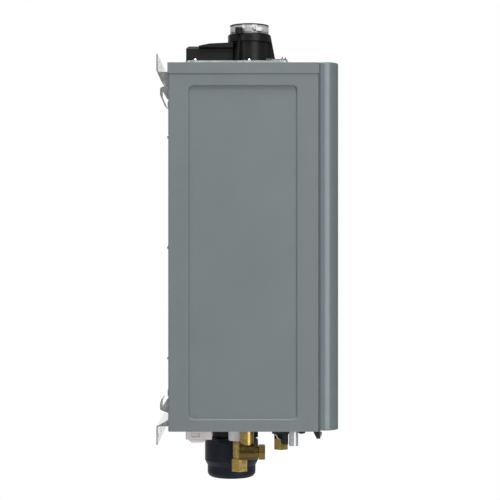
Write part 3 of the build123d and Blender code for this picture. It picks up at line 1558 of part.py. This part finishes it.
# Hot pipe from the primary heat exchanger down to its threaded end under the case
hot_y = y_at(hot_depth)
with BuildPart() as hot_pipe:
    tube(
        [
            (stack_right + header_depth, hot_y, z_at(hot_level)),
            (hot_x, hot_y, z_at(hot_level)),
            (hot_x, hot_y, case_bottom),
        ],
        water_pipe_radius, water_pipe_bend, water_pipe_wall)
    hot_end_z = case_bottom - hot_drop
    post(hot_x, hot_y, hot_end_z, case_bottom, hot_thread_radius)
    hexagon(hot_x, hot_y, case_bottom - hot_drop + hot_thread_length, case_bottom, hot_hex_flats)
    post(hot_x, hot_y, hot_end_z - overrun, case_bottom + overrun, water_pipe_radius - water_pipe_wall,
         mode=Mode.SUBTRACT)
save(hot_pipe, "hot_pipe")

# Condensate trap, with its spigot through the floor
trap_y = y_at(trap_depth)
trap_top_z = case_bottom + sheet + trap_height
with BuildPart() as condensate_trap:
    slab(trap_x - trap_half_x, trap_x + trap_half_x, trap_y - trap_half_depth, trap_y + trap_half_depth,
         case_bottom + sheet, trap_top_z)
    fillet(condensate_trap.edges().filter_by(Axis.Z), radius=trap_corner)
    post(trap_x, trap_y, case_bottom - spigot_drop, case_bottom, spigot_radius)
    post(trap_x, trap_y, case_bottom, case_bottom + sheet, spigot_radius + spigot_shoulder)
    post(trap_x, trap_y, case_bottom - spigot_drop - overrun, case_bottom + overrun, spigot_bore,
         mode=Mode.SUBTRACT)
save(condensate_trap, "condensate_trap")

# Condensate tube from the secondary heat exchanger to the trap
with BuildPart() as condensate_tube:
    tube(
        [
            (condensate_x, stack_front_y, z_at(condensate_level)),
            (condensate_x, trap_y, z_at(condensate_level)),
            (trap_x, trap_y, z_at(condensate_level)),
            (trap_x, trap_y, trap_top_z),
        ],
        condensate_radius, condensate_bend, condensate_wall)
save(condensate_tube, "condensate_tube")

# Electronics tray on the right side panel, and the board on its stands
tray_outer_x = panel_half - field_press - sheet
tray_inner_x = tray_outer_x - tray_wall_height
board_back_x = tray_outer_x - tray_sheet - board_stand
board_low_z = z_at(tray_low) + board_inset
board_high_z = z_at(tray_high) - board_inset
board_low_y = y_at(tray_front) + board_inset
board_high_y = y_at(tray_rear) - board_inset
with BuildPart() as electronics_tray:
    slab(tray_inner_x, tray_outer_x, y_at(tray_front), y_at(tray_rear), z_at(tray_low), z_at(tray_high))
    slab(tray_inner_x - overrun, tray_outer_x - tray_sheet, y_at(tray_front) + tray_sheet,
         y_at(tray_rear) - tray_sheet, z_at(tray_low) + tray_sheet, z_at(tray_high) - tray_sheet,
         mode=Mode.SUBTRACT)
    for y in (board_low_y + board_inset, board_high_y - board_inset):
        for z in (board_low_z + board_inset, board_high_z - board_inset):
            cross_bar(board_back_x, tray_outer_x - tray_sheet, y, z, board_inset / 2)
save(electronics_tray, "electronics_tray")

with BuildPart() as control_board:
    board_face_x = board_back_x - board_sheet
    slab(board_face_x, board_back_x, board_low_y, board_high_y, board_low_z, board_high_z)
    board_mid_y = (board_low_y + board_high_y) / 2
    for index in range(relay_count):
        relay_z = board_low_z + relay_size + index * relay_size * 2
        slab(board_face_x - relay_size, board_face_x, board_low_y + relay_size, board_low_y + relay_size * 2,
             relay_z, relay_z + relay_size)
        cross_bar(board_face_x - capacitor_height, board_face_x, board_mid_y + capacitor_radius * 3,
                  relay_z + relay_size / 2, capacitor_radius)
save(control_board, "control_board")

# Cable inlet: a stepped block under the case with the hole for the supply cable
with BuildPart() as cable_inlet:
    slab(cable_x - cable_half, cable_x + cable_half, y_at(cable_front), y_at(cable_rear),
         case_bottom - cable_drop, case_bottom)
    slab(cable_x - cable_half + cable_corner, cable_x + cable_half - cable_corner, y_at(cable_step_front),
         y_at(cable_step_rear), case_bottom - cable_step_drop, case_bottom)
    chamfer(cable_inlet.faces().sort_by(Axis.Z)[0].edges(), length=cable_chamfer)
    fillet(cable_inlet.edges().filter_by(Axis.Z), radius=cable_corner)
    window_face = cable_x - cable_half
    slab(window_face - overrun, window_face + cable_recess, y_at(cable_window_front),
         y_at(cable_window_rear), case_bottom - cable_window_low, case_bottom - cable_window_high,
         mode=Mode.SUBTRACT)
    post(cable_x, y_at((cable_step_rear + cable_step_front) / 2), case_bottom - cable_step_drop - overrun,
         case_bottom + overrun, cable_gland_radius, mode=Mode.SUBTRACT)
save(cable_inlet, "cable_inlet")

# Blanking plug in the spare hole of the floor
with BuildPart() as blanking_plug:
    post(plug_x, y_at(plug_depth), case_bottom - plug_drop, case_bottom, plug_head_radius)
    fillet(blanking_plug.faces().sort_by(Axis.Z)[0].edges(), radius=plug_drop / 3)
    post(plug_x, y_at(plug_depth), case_bottom, case_bottom + sheet, plug_radius - screw_fit)
save(blanking_plug, "blanking_plug")
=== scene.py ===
import bpy
import math
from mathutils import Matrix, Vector


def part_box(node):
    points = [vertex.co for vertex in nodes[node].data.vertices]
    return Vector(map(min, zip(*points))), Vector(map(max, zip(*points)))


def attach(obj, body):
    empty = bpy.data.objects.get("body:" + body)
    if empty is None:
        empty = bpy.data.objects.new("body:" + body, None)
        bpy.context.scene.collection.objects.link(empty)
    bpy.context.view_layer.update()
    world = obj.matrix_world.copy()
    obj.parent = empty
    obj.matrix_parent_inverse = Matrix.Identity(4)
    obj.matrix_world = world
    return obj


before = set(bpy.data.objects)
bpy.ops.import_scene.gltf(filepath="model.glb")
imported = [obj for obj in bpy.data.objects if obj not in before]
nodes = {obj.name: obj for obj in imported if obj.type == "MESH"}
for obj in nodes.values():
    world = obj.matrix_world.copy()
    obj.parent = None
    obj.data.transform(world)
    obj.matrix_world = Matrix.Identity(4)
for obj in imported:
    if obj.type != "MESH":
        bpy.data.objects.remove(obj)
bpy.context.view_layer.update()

WHITE = (1, 1, 1, 1)
UP = (0, 0, 1)
REAR = (0, 1, 0)
FRONT = (0, -1, 0)

# Shares that the finishes have in common
NOISE_MIDDLE = (0.3, 0.7)      # nearly all values of a noise lie between these
SPECK_RISE = (0.35, 0.65)      # a speck fades in over this part of a noise
STAIN_RISE = (0.45, 0.75)      # a stain fades in over this part of a noise
SPANGLE_RANGE = (0.2, 0.8)     # greys of the cells that make zinc's spangle
CORNER_REACH = 0.012           # how far the painted shade reaches out of a corner
CORNER_DARKEST = 0.35          # openness at which a corner is darkest
EDGE_TURN = (0.8, 0.97)        # cosine between the rounded and the flat normal on a cut edge
SOFT_EDGE = 0.0006             # width over which one finish turns into the next


def srgb(red, green, blue):
    """Linear colour of a colour read from the photograph, 0 to 255."""
    def linear(value):
        share = value / 255
        return share / 12.92 if share <= 0.04045 else ((share + 0.055) / 1.055) ** 2.4
    return (linear(red), linear(green), linear(blue), 1)


def shaded(colour, share):
    return (colour[0] * share, colour[1] * share, colour[2] * share, 1)


class Tree:
    """A node tree and short calls that add nodes to it."""

    def __init__(self, tree):
        self.tree = tree

    def put(self, target, value):
        """Sets an input, or links it where the value is another node's output."""
        if isinstance(value, bpy.types.NodeSocket):
            self.tree.links.new(value, target)
        else:
            target.default_value = value

    def add(self, kind, inputs=None, **settings):
        node = self.tree.nodes.new(kind)
        for name, value in settings.items():
            setattr(node, name, value)
        for key, value in (inputs or {}).items():
            self.put(node.inputs[key], value)
        return node

    def calculate(self, operation, first, second):
        node = self.add("ShaderNodeMath", {0: first, 1: second}, operation=operation)
        return node.outputs["Value"]

    def remap(self, value, low, high, to_low, to_high):
        node = self.add("ShaderNodeMapRange", {
            "Value": value, "From Min": low, "From Max": high, "To Min": to_low, "To Max": to_high,
        })
        return node.outputs["Result"]


class Finish(Tree):
    """A material on object coordinates, in metres, and the patterns that finishes share."""

    def __init__(self, name):
        self.material = bpy.data.materials.new(name)
        self.material.use_nodes = True
        super().__init__(self.material.node_tree)
        self.shader = self.tree.nodes["Principled BSDF"]
        self.place = self.add("ShaderNodeTexCoord").outputs["Object"]

    def dress(self, inputs):
        for name, value in inputs.items():
            self.put(self.shader.inputs[name], value)
        return self.material

    def noise(self, scale, detail=3, roughness=0.55, stretch=(1, 1, 1)):
        where = self.add("ShaderNodeMapping", {"Vector": self.place, "Scale": stretch})
        node = self.add("ShaderNodeTexNoise", {
            "Vector": where.outputs["Vector"],
            "Scale": scale,
            "Detail": detail,
            "Roughness": roughness,
        })
        return node.outputs["Fac"]

    def spread(self, noise, low=0.0, high=1.0):
        """A noise stretched to run from low to high."""
        return self.remap(noise, *NOISE_MIDDLE, low, high)

    def mix(self, factor, first, second):
        node = self.add("ShaderNodeMix", {0: factor}, data_type="RGBA")
        ends = [socket for socket in node.inputs if socket.type == "RGBA"]
        for socket, value in zip(ends, (first, second)):
            self.put(socket, value)
        return next(socket for socket in node.outputs if socket.type == "RGBA")

    def varied(self, noise, colour, low, high):
        """A colour that a noise makes darker and lighter, between two shares of it."""
        return self.mix(self.spread(noise), shaded(colour, low), shaded(colour, high))

    def stained(self, body, noise, share, stain):
        """A colour with patches of a stain where a noise is high."""
        return self.mix(self.remap(noise, *STAIN_RISE, 0.0, share), body, stain)

    def corners(self):
        """1 in narrow gaps and each inner corner, 0 in the open: the mask of painted shade."""
        node = self.add("ShaderNodeAmbientOcclusion", {"Distance": CORNER_REACH}, samples=6)
        return self.remap(node.outputs["AO"], CORNER_DARKEST, 1.0, 1.0, 0.0)

    def rounded(self, width):
        """Normal of the surface with its edges rounded off."""
        return self.add("ShaderNodeBevel", {"Radius": width}, samples=4).outputs["Normal"]

    def dull_and_shaded_edges(self, width):
        """1 on a sheet's cut edges and folds, where the rounded normal leaves the flat one:
        the mask of darker edges, partly dull cut steel and partly painted shade.
        """
        flat = self.add("ShaderNodeNewGeometry").outputs["Normal"]
        turn = self.add("ShaderNodeVectorMath", {0: self.rounded(width), 1: flat},
                        operation="DOT_PRODUCT")
        return self.remap(turn.outputs["Value"], *EDGE_TURN, 1.0, 0.0)

    def round_axis(self, centre, radius):
        """1 inside a cylinder along Y, 0 outside it."""
        offset = self.add("ShaderNodeVectorMath", {0: self.place, 1: centre},
                          operation="SUBTRACT")
        level = self.add("ShaderNodeVectorMath", {0: offset.outputs["Vector"], 1: (1, 0, 1)},
                         operation="MULTIPLY")
        reach = self.add("ShaderNodeVectorMath", {0: level.outputs["Vector"]},
                         operation="LENGTH")
        return self.remap(reach.outputs["Value"], radius, radius + SOFT_EDGE, 1.0, 0.0)

    def bump(self, height, strength, distance, normal):
        """Relief on top of another normal."""
        node = self.add("ShaderNodeBump", {
            "Height": height, "Strength": strength, "Distance": distance, "Normal": normal,
        })
        return node.outputs["Normal"]


def coated(name, colour, roughness=0.5, metal=0.0, vary=0.06, grain=900, depth=0.00004,
           specular=0.5, rounding=0.0006, dark=0.55, coat=0.0, tint=WHITE):
    """Paint or moulded plastic: slow colour change, fine orange peel, painted shade in each
    corner.
    """
    made = Finish(name)
    clouds = made.noise(9, detail=4)
    specks = made.noise(grain * 1.7, detail=2)
    polish = made.noise(40, detail=5)
    peel = made.noise(grain, detail=2)
    body = made.varied(clouds, colour, 1 - vary, 1 + vary)
    body = made.mix(made.remap(specks, *SPECK_RISE, 0.0, 0.12), body, shaded(colour, 1.3))
    # Painted shade: gaps and inner corners darkened to the share dark of the colour
    body = made.mix(made.corners(), body, shaded(colour, dark))
    if coat:
        made.dress({"Coat Weight": coat, "Coat Roughness": 0.15})
    return made.dress({
        "Base Color": body,
        "Roughness": made.spread(polish, roughness - 0.05, roughness + 0.06),
        "Metallic": metal,
        "Specular IOR Level": specular,
        "Specular Tint": tint,
        "Normal": made.bump(peel, 0.5, depth, made.rounded(rounding)),
    })


def metal(name, colour, roughness=0.3, stretch=(1, 1, 1), scale=260, vary=0.12,
          depth=0.00005, rounding=0.0005, dark=0.3, cast=None, metallic=1.0):
    """Bare metal: drawn or cast grain, tarnish patches, painted corner shade, changing polish.

    The round part, given by its centre and radius, is painted much darker than the
    turned rest: a painted dark reflection.
    """
    made = Finish(name)
    grain = made.noise(scale, detail=6, roughness=0.65, stretch=stretch)
    tarnish = made.noise(24, detail=5, roughness=0.6)
    body = made.varied(grain, colour, 1 - vary, 1 + vary)
    body = made.stained(body, tarnish, 0.35, shaded(colour, 0.72))
    if cast:
        # Painted dark reflection: the round part darkened to 0.22 of the colour
        body = made.mix(made.round_axis(*cast), body, shaded(colour, 0.22))
    # Painted shade: gaps and inner corners darkened to the share dark of the colour
    body = made.mix(made.corners(), body, shaded(colour, dark))
    return made.dress({
        "Base Color": body,
        "Roughness": made.spread(grain, roughness - 0.06, roughness + 0.1),
        "Metallic": metallic,
        "Normal": made.bump(grain, 0.4, depth, made.rounded(rounding)),
    })


def zinc(name, colour, roughness=0.38, metallic=0.85, edge=0.0):
    """Zinc-plated sheet with its faint spangle, painted shade in each corner, and darker edges
    of the given width: partly dull cut steel, partly painted shade.
    """
    made = Finish(name)
    cells = made.add("ShaderNodeTexVoronoi", {"Vector": made.place, "Scale": 160})
    greys = made.add("ShaderNodeRGBToBW", {"Color": cells.outputs["Color"]})
    spangle = greys.outputs["Val"]
    stains = made.noise(30, detail=5)
    grit = made.noise(700, detail=3)
    body = made.mix(made.remap(spangle, *SPANGLE_RANGE, 0.0, 1.0),
                    shaded(colour, 0.9), shaded(colour, 1.08))
    body = made.stained(body, stains, 0.4, shaded(colour, 0.82))
    # Painted shade: gaps and inner corners darkened
    body = made.mix(made.corners(), body, shaded(colour, 0.4))
    # Edges and folds darkened: partly the dull grey of cut steel, partly painted shade
    if edge:
        body = made.mix(made.dull_and_shaded_edges(edge), body, shaded(colour, 0.3))
    return made.dress({
        "Base Color": body,
        "Roughness": made.remap(spangle, *SPANGLE_RANGE, roughness - 0.05, roughness + 0.08),
        "Metallic": metallic,
        "Normal": made.bump(grit, 0.3, 0.00003, made.rounded(0.0004)),
    })


def ribbed(name, colour, pitch, depth):
    """Moulded plastic with fine level ribs one above the other, and painted shade in the grooves.
    """
    made = Finish(name)
    level = made.add("ShaderNodeSeparateXYZ", {"Vector": made.place}).outputs["Z"]
    wave = made.calculate("PINGPONG", level, pitch / 2)
    rib = made.remap(wave, 0.0, pitch / 2, 0.0, 1.0)
    groove_shade = made.remap(rib, 0.0, 0.09, 1.0, 0.0)
    flank = made.remap(rib, 0.0, 0.14, 0.0, 1.0)
    clouds = made.noise(14, detail=4)
    grit = made.noise(1200, detail=2)
    body = made.varied(clouds, colour, 0.85, 1.2)
    # Painted shade: the grooves between the ribs darkened
    body = made.mix(made.remap(groove_shade, 0.0, 1.0, 0.0, 0.75), body, shaded(colour, 0.45))
    # Painted shade: gaps and inner corners darkened
    body = made.mix(made.corners(), body, shaded(colour, 0.5))
    ribs = made.bump(flank, 0.8, depth, made.rounded(0.0008))
    return made.dress({
        "Base Color": body,
        "Roughness": 0.42,
        "Specular IOR Level": 0.3,
        "Normal": made.bump(grit, 0.3, 0.00003, ribs),
    })


def smoked_glass(name):
    """Dark display window: a thin tint with a faint smear in its polish."""
    made = Finish(name)
    clouds = made.noise(30, detail=3)
    smear = made.noise(60, detail=4)
    return made.dress({
        "Base Color": made.mix(clouds, (0.012, 0.014, 0.018, 1), (0.02, 0.023, 0.028, 1)),
        "Roughness": made.spread(smear, 0.04, 0.12),
        "Coat Weight": 0.6,
        "Coat Roughness": 0.05,
    })


case_paint = coated("case_paint", srgb(122, 130, 132), roughness=0.34, vary=0.025, grain=1400,
                    depth=0.00002, specular=0.45, rounding=0.0004, dark=1.0)
cover_paint = coated("cover_paint", srgb(114, 123, 126), roughness=0.19, vary=0.02, grain=1400,
                     depth=0.00001, specular=0.9, dark=1.0, tint=(0.8, 0.98, 1, 1))
black = coated("black_plastic", srgb(23, 23, 24), roughness=0.36, vary=0.12, grain=1100,
               depth=0.00005, specular=0.3)
box_black = coated("box_plastic", srgb(31, 31, 32), roughness=0.42, vary=0.12, grain=1100,
                   depth=0.00005, specular=0.25)
dark_grey = coated("dark_fitting", srgb(38, 40, 46), roughness=0.4, vary=0.12, depth=0.00006,
                   specular=0.3)
bowl = ribbed("bowl_plastic", srgb(13, 20, 36), pitch=0.0105, depth=0.0004)
head = coated("head_plastic", srgb(12, 17, 28), roughness=0.42, vary=0.12, depth=0.00006,
              specular=0.3)
pale = coated("pale_plastic", srgb(232, 230, 236), vary=0.04, grain=800, depth=0.00005,
              dark=0.6)
warm = coated("warm_plastic", srgb(224, 218, 215), roughness=0.52, vary=0.04, grain=800,
              depth=0.00005, dark=0.6)
key_plastic = coated("key_plastic", srgb(176, 180, 184), roughness=0.4, vary=0.04, grain=800,
                     depth=0.00003)
trap_grey = coated("trap_plastic", srgb(218, 220, 222), roughness=0.22, metal=0.6, vary=0.05,
                   grain=700, depth=0.00003)
rubber = coated("rubber", srgb(34, 34, 35), roughness=0.75, vary=0.15, grain=1500,
                depth=0.00008, specular=0.25)
plate = zinc("zinc_sheet", (0.72, 0.73, 0.74, 1))
hanger = zinc("zinc_bracket", (0.78, 0.79, 0.8, 1), roughness=0.2, metallic=1.0, edge=0.0016)
steel = metal("polished_steel", (0.86, 0.86, 0.87, 1), roughness=0.16, stretch=(1, 1, 12),
              vary=0.04, metallic=0.3)
band = metal("clamp_band", (0.84, 0.84, 0.85, 1), roughness=0.2, stretch=(1, 1, 9), scale=180,
             vary=0.05, dark=0.12, metallic=0.4)
wire = metal("wire_steel", (0.82, 0.82, 0.82, 1), roughness=0.24)
stainless = metal("stainless", (0.66, 0.66, 0.66, 1), roughness=0.34, stretch=(1, 1, 9),
                  scale=180)
brass = metal("turned_brass", (0.6, 0.41, 0.12, 1), roughness=0.18, scale=140, vary=0.06,
              depth=0.00001)
# The valve's side body carries the drain cap and has painted dark reflection; the rest is turned.
side_body_radius = 0.0158
cap_low, cap_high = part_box("drain_cap")
valve_brass = metal("valve_brass", (0.64, 0.46, 0.15, 1), roughness=0.24, scale=140, vary=0.08,
                    depth=0.00001, rounding=0.0011,
                    cast=(tuple((cap_low + cap_high) / 2), side_body_radius))
# Painted dark reflection: the drain cap's brass is much darker than the valve's
cap_brass = metal("cap_brass", (0.22, 0.15, 0.045, 1), roughness=0.26, vary=0.1, depth=0.00003)
copper = metal("copper", (0.78, 0.42, 0.28, 1), scale=200, vary=0.1)
casting = metal("cast_aluminium", (0.56, 0.57, 0.58, 1), roughness=0.5, scale=700, vary=0.1,
                depth=0.00015)
laminate = coated("circuit_laminate", srgb(30, 92, 58), roughness=0.3, vary=0.1, grain=600,
                  depth=0.00003, coat=0.5)
bezel_gloss = coated("bezel_plastic", srgb(30, 32, 34), roughness=0.2, grain=1200,
                     depth=0.00001, coat=0.4)
window = smoked_glass("smoked_glass")

finishes = {
    case_paint: ("left_side_panel", "right_side_panel", "top_panel", "front_frame"),
    cover_paint: ("front_cover",),
    plate: ("rear_panel", "bottom_panel", "vent_seat_plate", "exchanger_brackets",
            "electronics_tray", "combustion_chamber"),
    hanger: ("top_wall_bracket", "bottom_wall_bracket", "wall_hooks", "case_screws",
             "cover_screws", "vent_screws", "flange_clips"),
    steel: ("vent_sleeves",),
    band: ("vent_clamps",),
    stainless: ("secondary_heat_exchanger", "secondary_tubes", "burner", "flue_hood",
                "condensate_tube"),
    wire: ("retaining_clip",),
    black: ("exhaust_collar", "intake_collar", "flow_sensor"),
    box_black: ("vent_box",),
    dark_grey: ("gas_inlet", "blanking_plug", "cover_catches"),
    bezel_gloss: ("control_bezel",),
    bowl: ("filter_bowl",),
    head: ("filter_head",),
    pale: ("inlet_nut", "flow_turbine", "filter_cartridge"),
    key_plastic: ("power_key", "up_key", "down_key"),
    warm: ("cable_inlet",),
    trap_grey: ("condensate_trap",),
    rubber: ("cover_gasket", "vent_seals"),
    brass: ("gas_nut",),
    valve_brass: ("inlet_valve",),
    cap_brass: ("drain_cap",),
    copper: ("primary_heat_exchanger", "cold_pipe", "hot_pipe"),
    casting: ("blower_housing", "blower_wheel", "gas_valve", "gas_pipe", "blower_motor"),
    window: ("display_window",),
    laminate: ("control_pcb", "control_board"),
}
finish_of = {node: material for material, members in finishes.items() for node in members}
for name, piece in nodes.items():
    piece.data.materials.clear()
    piece.data.materials.append(finish_of[name])


# Small details that the solids leave out
def mesh_piece(name, verts, faces, body, material):
    data = bpy.data.meshes.new(name)
    data.from_pydata([tuple(vert) for vert in verts], [], faces)
    data.validate()
    piece = bpy.data.objects.new(name, data)
    bpy.context.scene.collection.objects.link(piece)
    data.materials.append(material)
    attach(piece, body)


def cross_recess(centre, normal, size):
    """Points of a four-armed star on a screw's head: its middle, then its outline."""
    lift = 0.00006
    half_arm = 0.16
    notch = size * 0.36
    rotation = Vector(UP).rotation_difference(Vector(normal)).to_matrix()
    points = [(0, 0, lift * 0.6)]
    for arm in range(4):
        angle = arm * math.pi / 2 + math.pi / 4
        for reach, spread in ((size, -half_arm), (size, half_arm), (notch, math.pi / 4)):
            turn = angle + spread
            points.append((reach * math.cos(turn), reach * math.sin(turn), lift))
    return [rotation @ Vector(point) + centre for point in points]


def islands(node):
    """Lowest and highest corner of each separate solid in a node."""
    data = nodes[node].data
    parent = {}

    def root(key):
        while parent[key] != key:
            parent[key] = parent[parent[key]]
            key = parent[key]
        return key

    keys = [tuple(round(value * 1e5) for value in vertex.co) for vertex in data.vertices]
    for key in keys:
        parent[key] = key
    for edge in data.edges:
        first, second = (root(keys[index]) for index in edge.vertices)
        parent[first] = second
    groups = {}
    for key, vertex in zip(keys, data.vertices):
        groups.setdefault(root(key), []).append(vertex.co)
    return [
        (Vector([min(point[axis] for point in group) for axis in range(3)]),
         Vector([max(point[axis] for point in group) for axis in range(3)]))
        for group in groups.values()
    ]


def screw_recesses(name, node, normal, size, body):
    """A dark cross, painted shade of a cross recess, on the head of each screw of a node."""
    verts = []
    faces = []
    axis = [abs(part) for part in normal].index(1)
    for low, high in islands(node):
        centre = (low + high) / 2
        centre[axis] = (high if normal[axis] > 0 else low)[axis]
        star = cross_recess(centre, normal, size)
        middle = len(verts)
        rim = range(middle + 1, middle + len(star))
        faces += [(middle, point, rim[(index + 1) % len(rim)]) for index, point in enumerate(rim)]
        verts += star
    mesh_piece(name, verts, faces, body, recess_shade)


recess_shade = metal("recess_shade", (0.1, 0.1, 0.1, 1), roughness=0.5, scale=900)
screw_recesses("vent_screw_recesses", "vent_screws", UP, 0.0024, "case")
screw_recesses("case_screw_recesses", "case_screws", REAR, 0.0022, "case")
screw_recesses("cover_screw_recesses", "cover_screws", FRONT, 0.0026, "cover")


def helix_thread(name, centre, radius, proud, pitch, length, body, material):
    """Male thread: a V ridge wound round a vertical shaft, fading at both ends."""
    steps = 36
    sunk = 0.0003
    flank = pitch * 0.42
    verts = []
    faces = []
    total = int(length / pitch * steps)
    for index in range(total + 1):
        angle = 2 * math.pi * index / steps
        z = pitch * index / steps
        fade = min(1, index / steps * 2, (total - index) / steps * 2)
        for out, up in ((-sunk, -flank), (proud * fade, 0), (-sunk, flank)):
            rise = min(max(z + up * max(fade, 0.05), 0), length)
            verts.append((centre[0] + (radius + out) * math.cos(angle),
                          centre[1] + (radius + out) * math.sin(angle),
                          centre[2] + rise))
        if index:
            low = (index - 1) * 3
            faces += [(low, low + 3, low + 4, low + 1), (low + 1, low + 4, low + 5, low + 2)]
    mesh_piece(name, verts, faces, body, material)


outlet_end = (0.15, -0.144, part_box("hot_pipe")[0].z)
helix_thread("outlet_thread", outlet_end, radius=0.0133, proud=0.0007, pitch=0.0018,
             length=0.0276, body="case", material=copper)


def key_symbol(name, points, node, body):
    """Raised symbol on a key's face, from points (x, z) in millimetres about its centre."""
    proud = 0.00003
    sunk = 0.0004
    low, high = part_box(node)
    mid = (low + high) / 2
    verts = [(mid.x + x / 1000, y, mid.z + z / 1000)
             for y in (low.y - proud, low.y + sunk) for x, z in points]
    count = len(points)
    faces = [tuple(range(count))]
    faces += [(index, index + count, (index + 1) % count + count, (index + 1) % count)
              for index in range(count)]
    mesh_piece(name, verts, faces, body, ink)


def arc(radius, start, end, steps=24):
    """Points on a circle, from start to end in degrees clockwise from the top."""
    angles = [math.radians(start + (end - start) * step / steps) for step in range(steps + 1)]
    return [(radius * math.sin(angle), radius * math.cos(angle)) for angle in angles]


ink = coated("symbol_ink", srgb(46, 50, 54), vary=0.1)
power_ring = arc(2.9, 32, 328) + arc(2.3, 328, 32)
key_symbol("up_symbol", [(-2.6, -1.6), (0, 2.6), (2.6, -1.6)], "up_key", "up_key")
key_symbol("down_symbol", [(-2.6, 1.6), (2.6, 1.6), (0, -2.6)], "down_key", "down_key")
key_symbol("power_ring", power_ring, "power_key", "power_key")
key_symbol("power_bar", [(-0.35, 3.2), (0.35, 3.2), (0.35, 0.6), (-0.35, 0.6)],
           "power_key", "power_key")


# Studio: softboxes, room, floor and the photograph's camera
def softbox(name, place, width, height, power):
    """A lamp that faces the middle of the heater, with its power in watts."""
    middle = Vector((0, -0.18, -0.36))
    data = bpy.data.lights.new(name, "AREA")
    data.shape = "RECTANGLE"
    data.size = width
    data.size_y = height
    data.energy = power
    lamp = bpy.data.objects.new(name, data)
    bpy.context.scene.collection.objects.link(lamp)
    lamp.location = place
    lamp.rotation_euler = (middle - Vector(place)).to_track_quat("-Z", "Y").to_euler()


softbox("key_light", (-2.1, -1.5, -0.1), width=1.3, height=2.3, power=21)
softbox("top_light", (-0.95, -0.1, 2.4), width=1.6, height=1.6, power=86)
softbox("fill_light", (-2.0, 1.25, 0.4), width=0.5, height=2.0, power=6)

# The camera sees white all round, and light that falls on the heater is dimmer. Reflections
# see a room with a white wall at +X that ends towards -Y.
world = bpy.data.worlds.new("studio")
bpy.context.scene.world = world
world.use_nodes = True
room = Tree(world.node_tree)
ambient = room.tree.nodes["Background"]
room.put(ambient.inputs["Color"], WHITE)
room.put(ambient.inputs["Strength"], 0.21)
backdrop = room.add("ShaderNodeBackground", {"Color": WHITE, "Strength": 1.0})
heading = room.add("ShaderNodeTexCoord").outputs["Generated"]
towards = room.add("ShaderNodeSeparateXYZ", {"Vector": heading}).outputs
wall = room.remap(towards["X"], 0.7, 0.92, 0.08, 1.0)
wall_end = room.remap(towards["Y"], -0.34, -0.2, 0.0, 1.0)
white_wall = room.calculate("MULTIPLY", wall, wall_end)
rays = room.add("ShaderNodeLightPath").outputs
mirrored = room.calculate("MULTIPLY", rays["Is Glossy Ray"], white_wall)
seen = room.calculate("MAXIMUM", rays["Is Camera Ray"], rays["Is Transmission Ray"])
brightness = room.calculate("MAXIMUM", seen, mirrored)
choose = room.add("ShaderNodeMixShader", {
    0: brightness, 1: ambient.outputs["Background"], 2: backdrop.outputs["Background"],
})
room.put(room.tree.nodes["World Output"].inputs["Surface"], choose.outputs["Shader"])

bpy.ops.mesh.primitive_plane_add(size=3.0, location=(0, -0.18, -1.15))
floor = bpy.context.object
floor.name = "floor"
floor_paint = Finish("floor_paint")
floor_clouds = floor_paint.noise(3, detail=2)
floor.data.materials.append(floor_paint.dress({
    "Base Color": floor_paint.mix(floor_clouds, (0.86, 0.86, 0.86, 1), (0.9, 0.9, 0.9, 1)),
    "Roughness": 0.8,
}))

camera_data = bpy.data.cameras.new("camera")
camera_data.lens = 105
camera_data.sensor_width = 36
camera = bpy.data.objects.new("camera", camera_data)
bpy.context.scene.collection.objects.link(camera)
camera.location = (-2.9833, -0.1813, -0.3657)
camera.rotation_euler = (math.radians(90), 0, math.radians(-90))
bpy.context.scene.camera = camera

bpy.context.scene.view_settings.view_transform = "Standard"
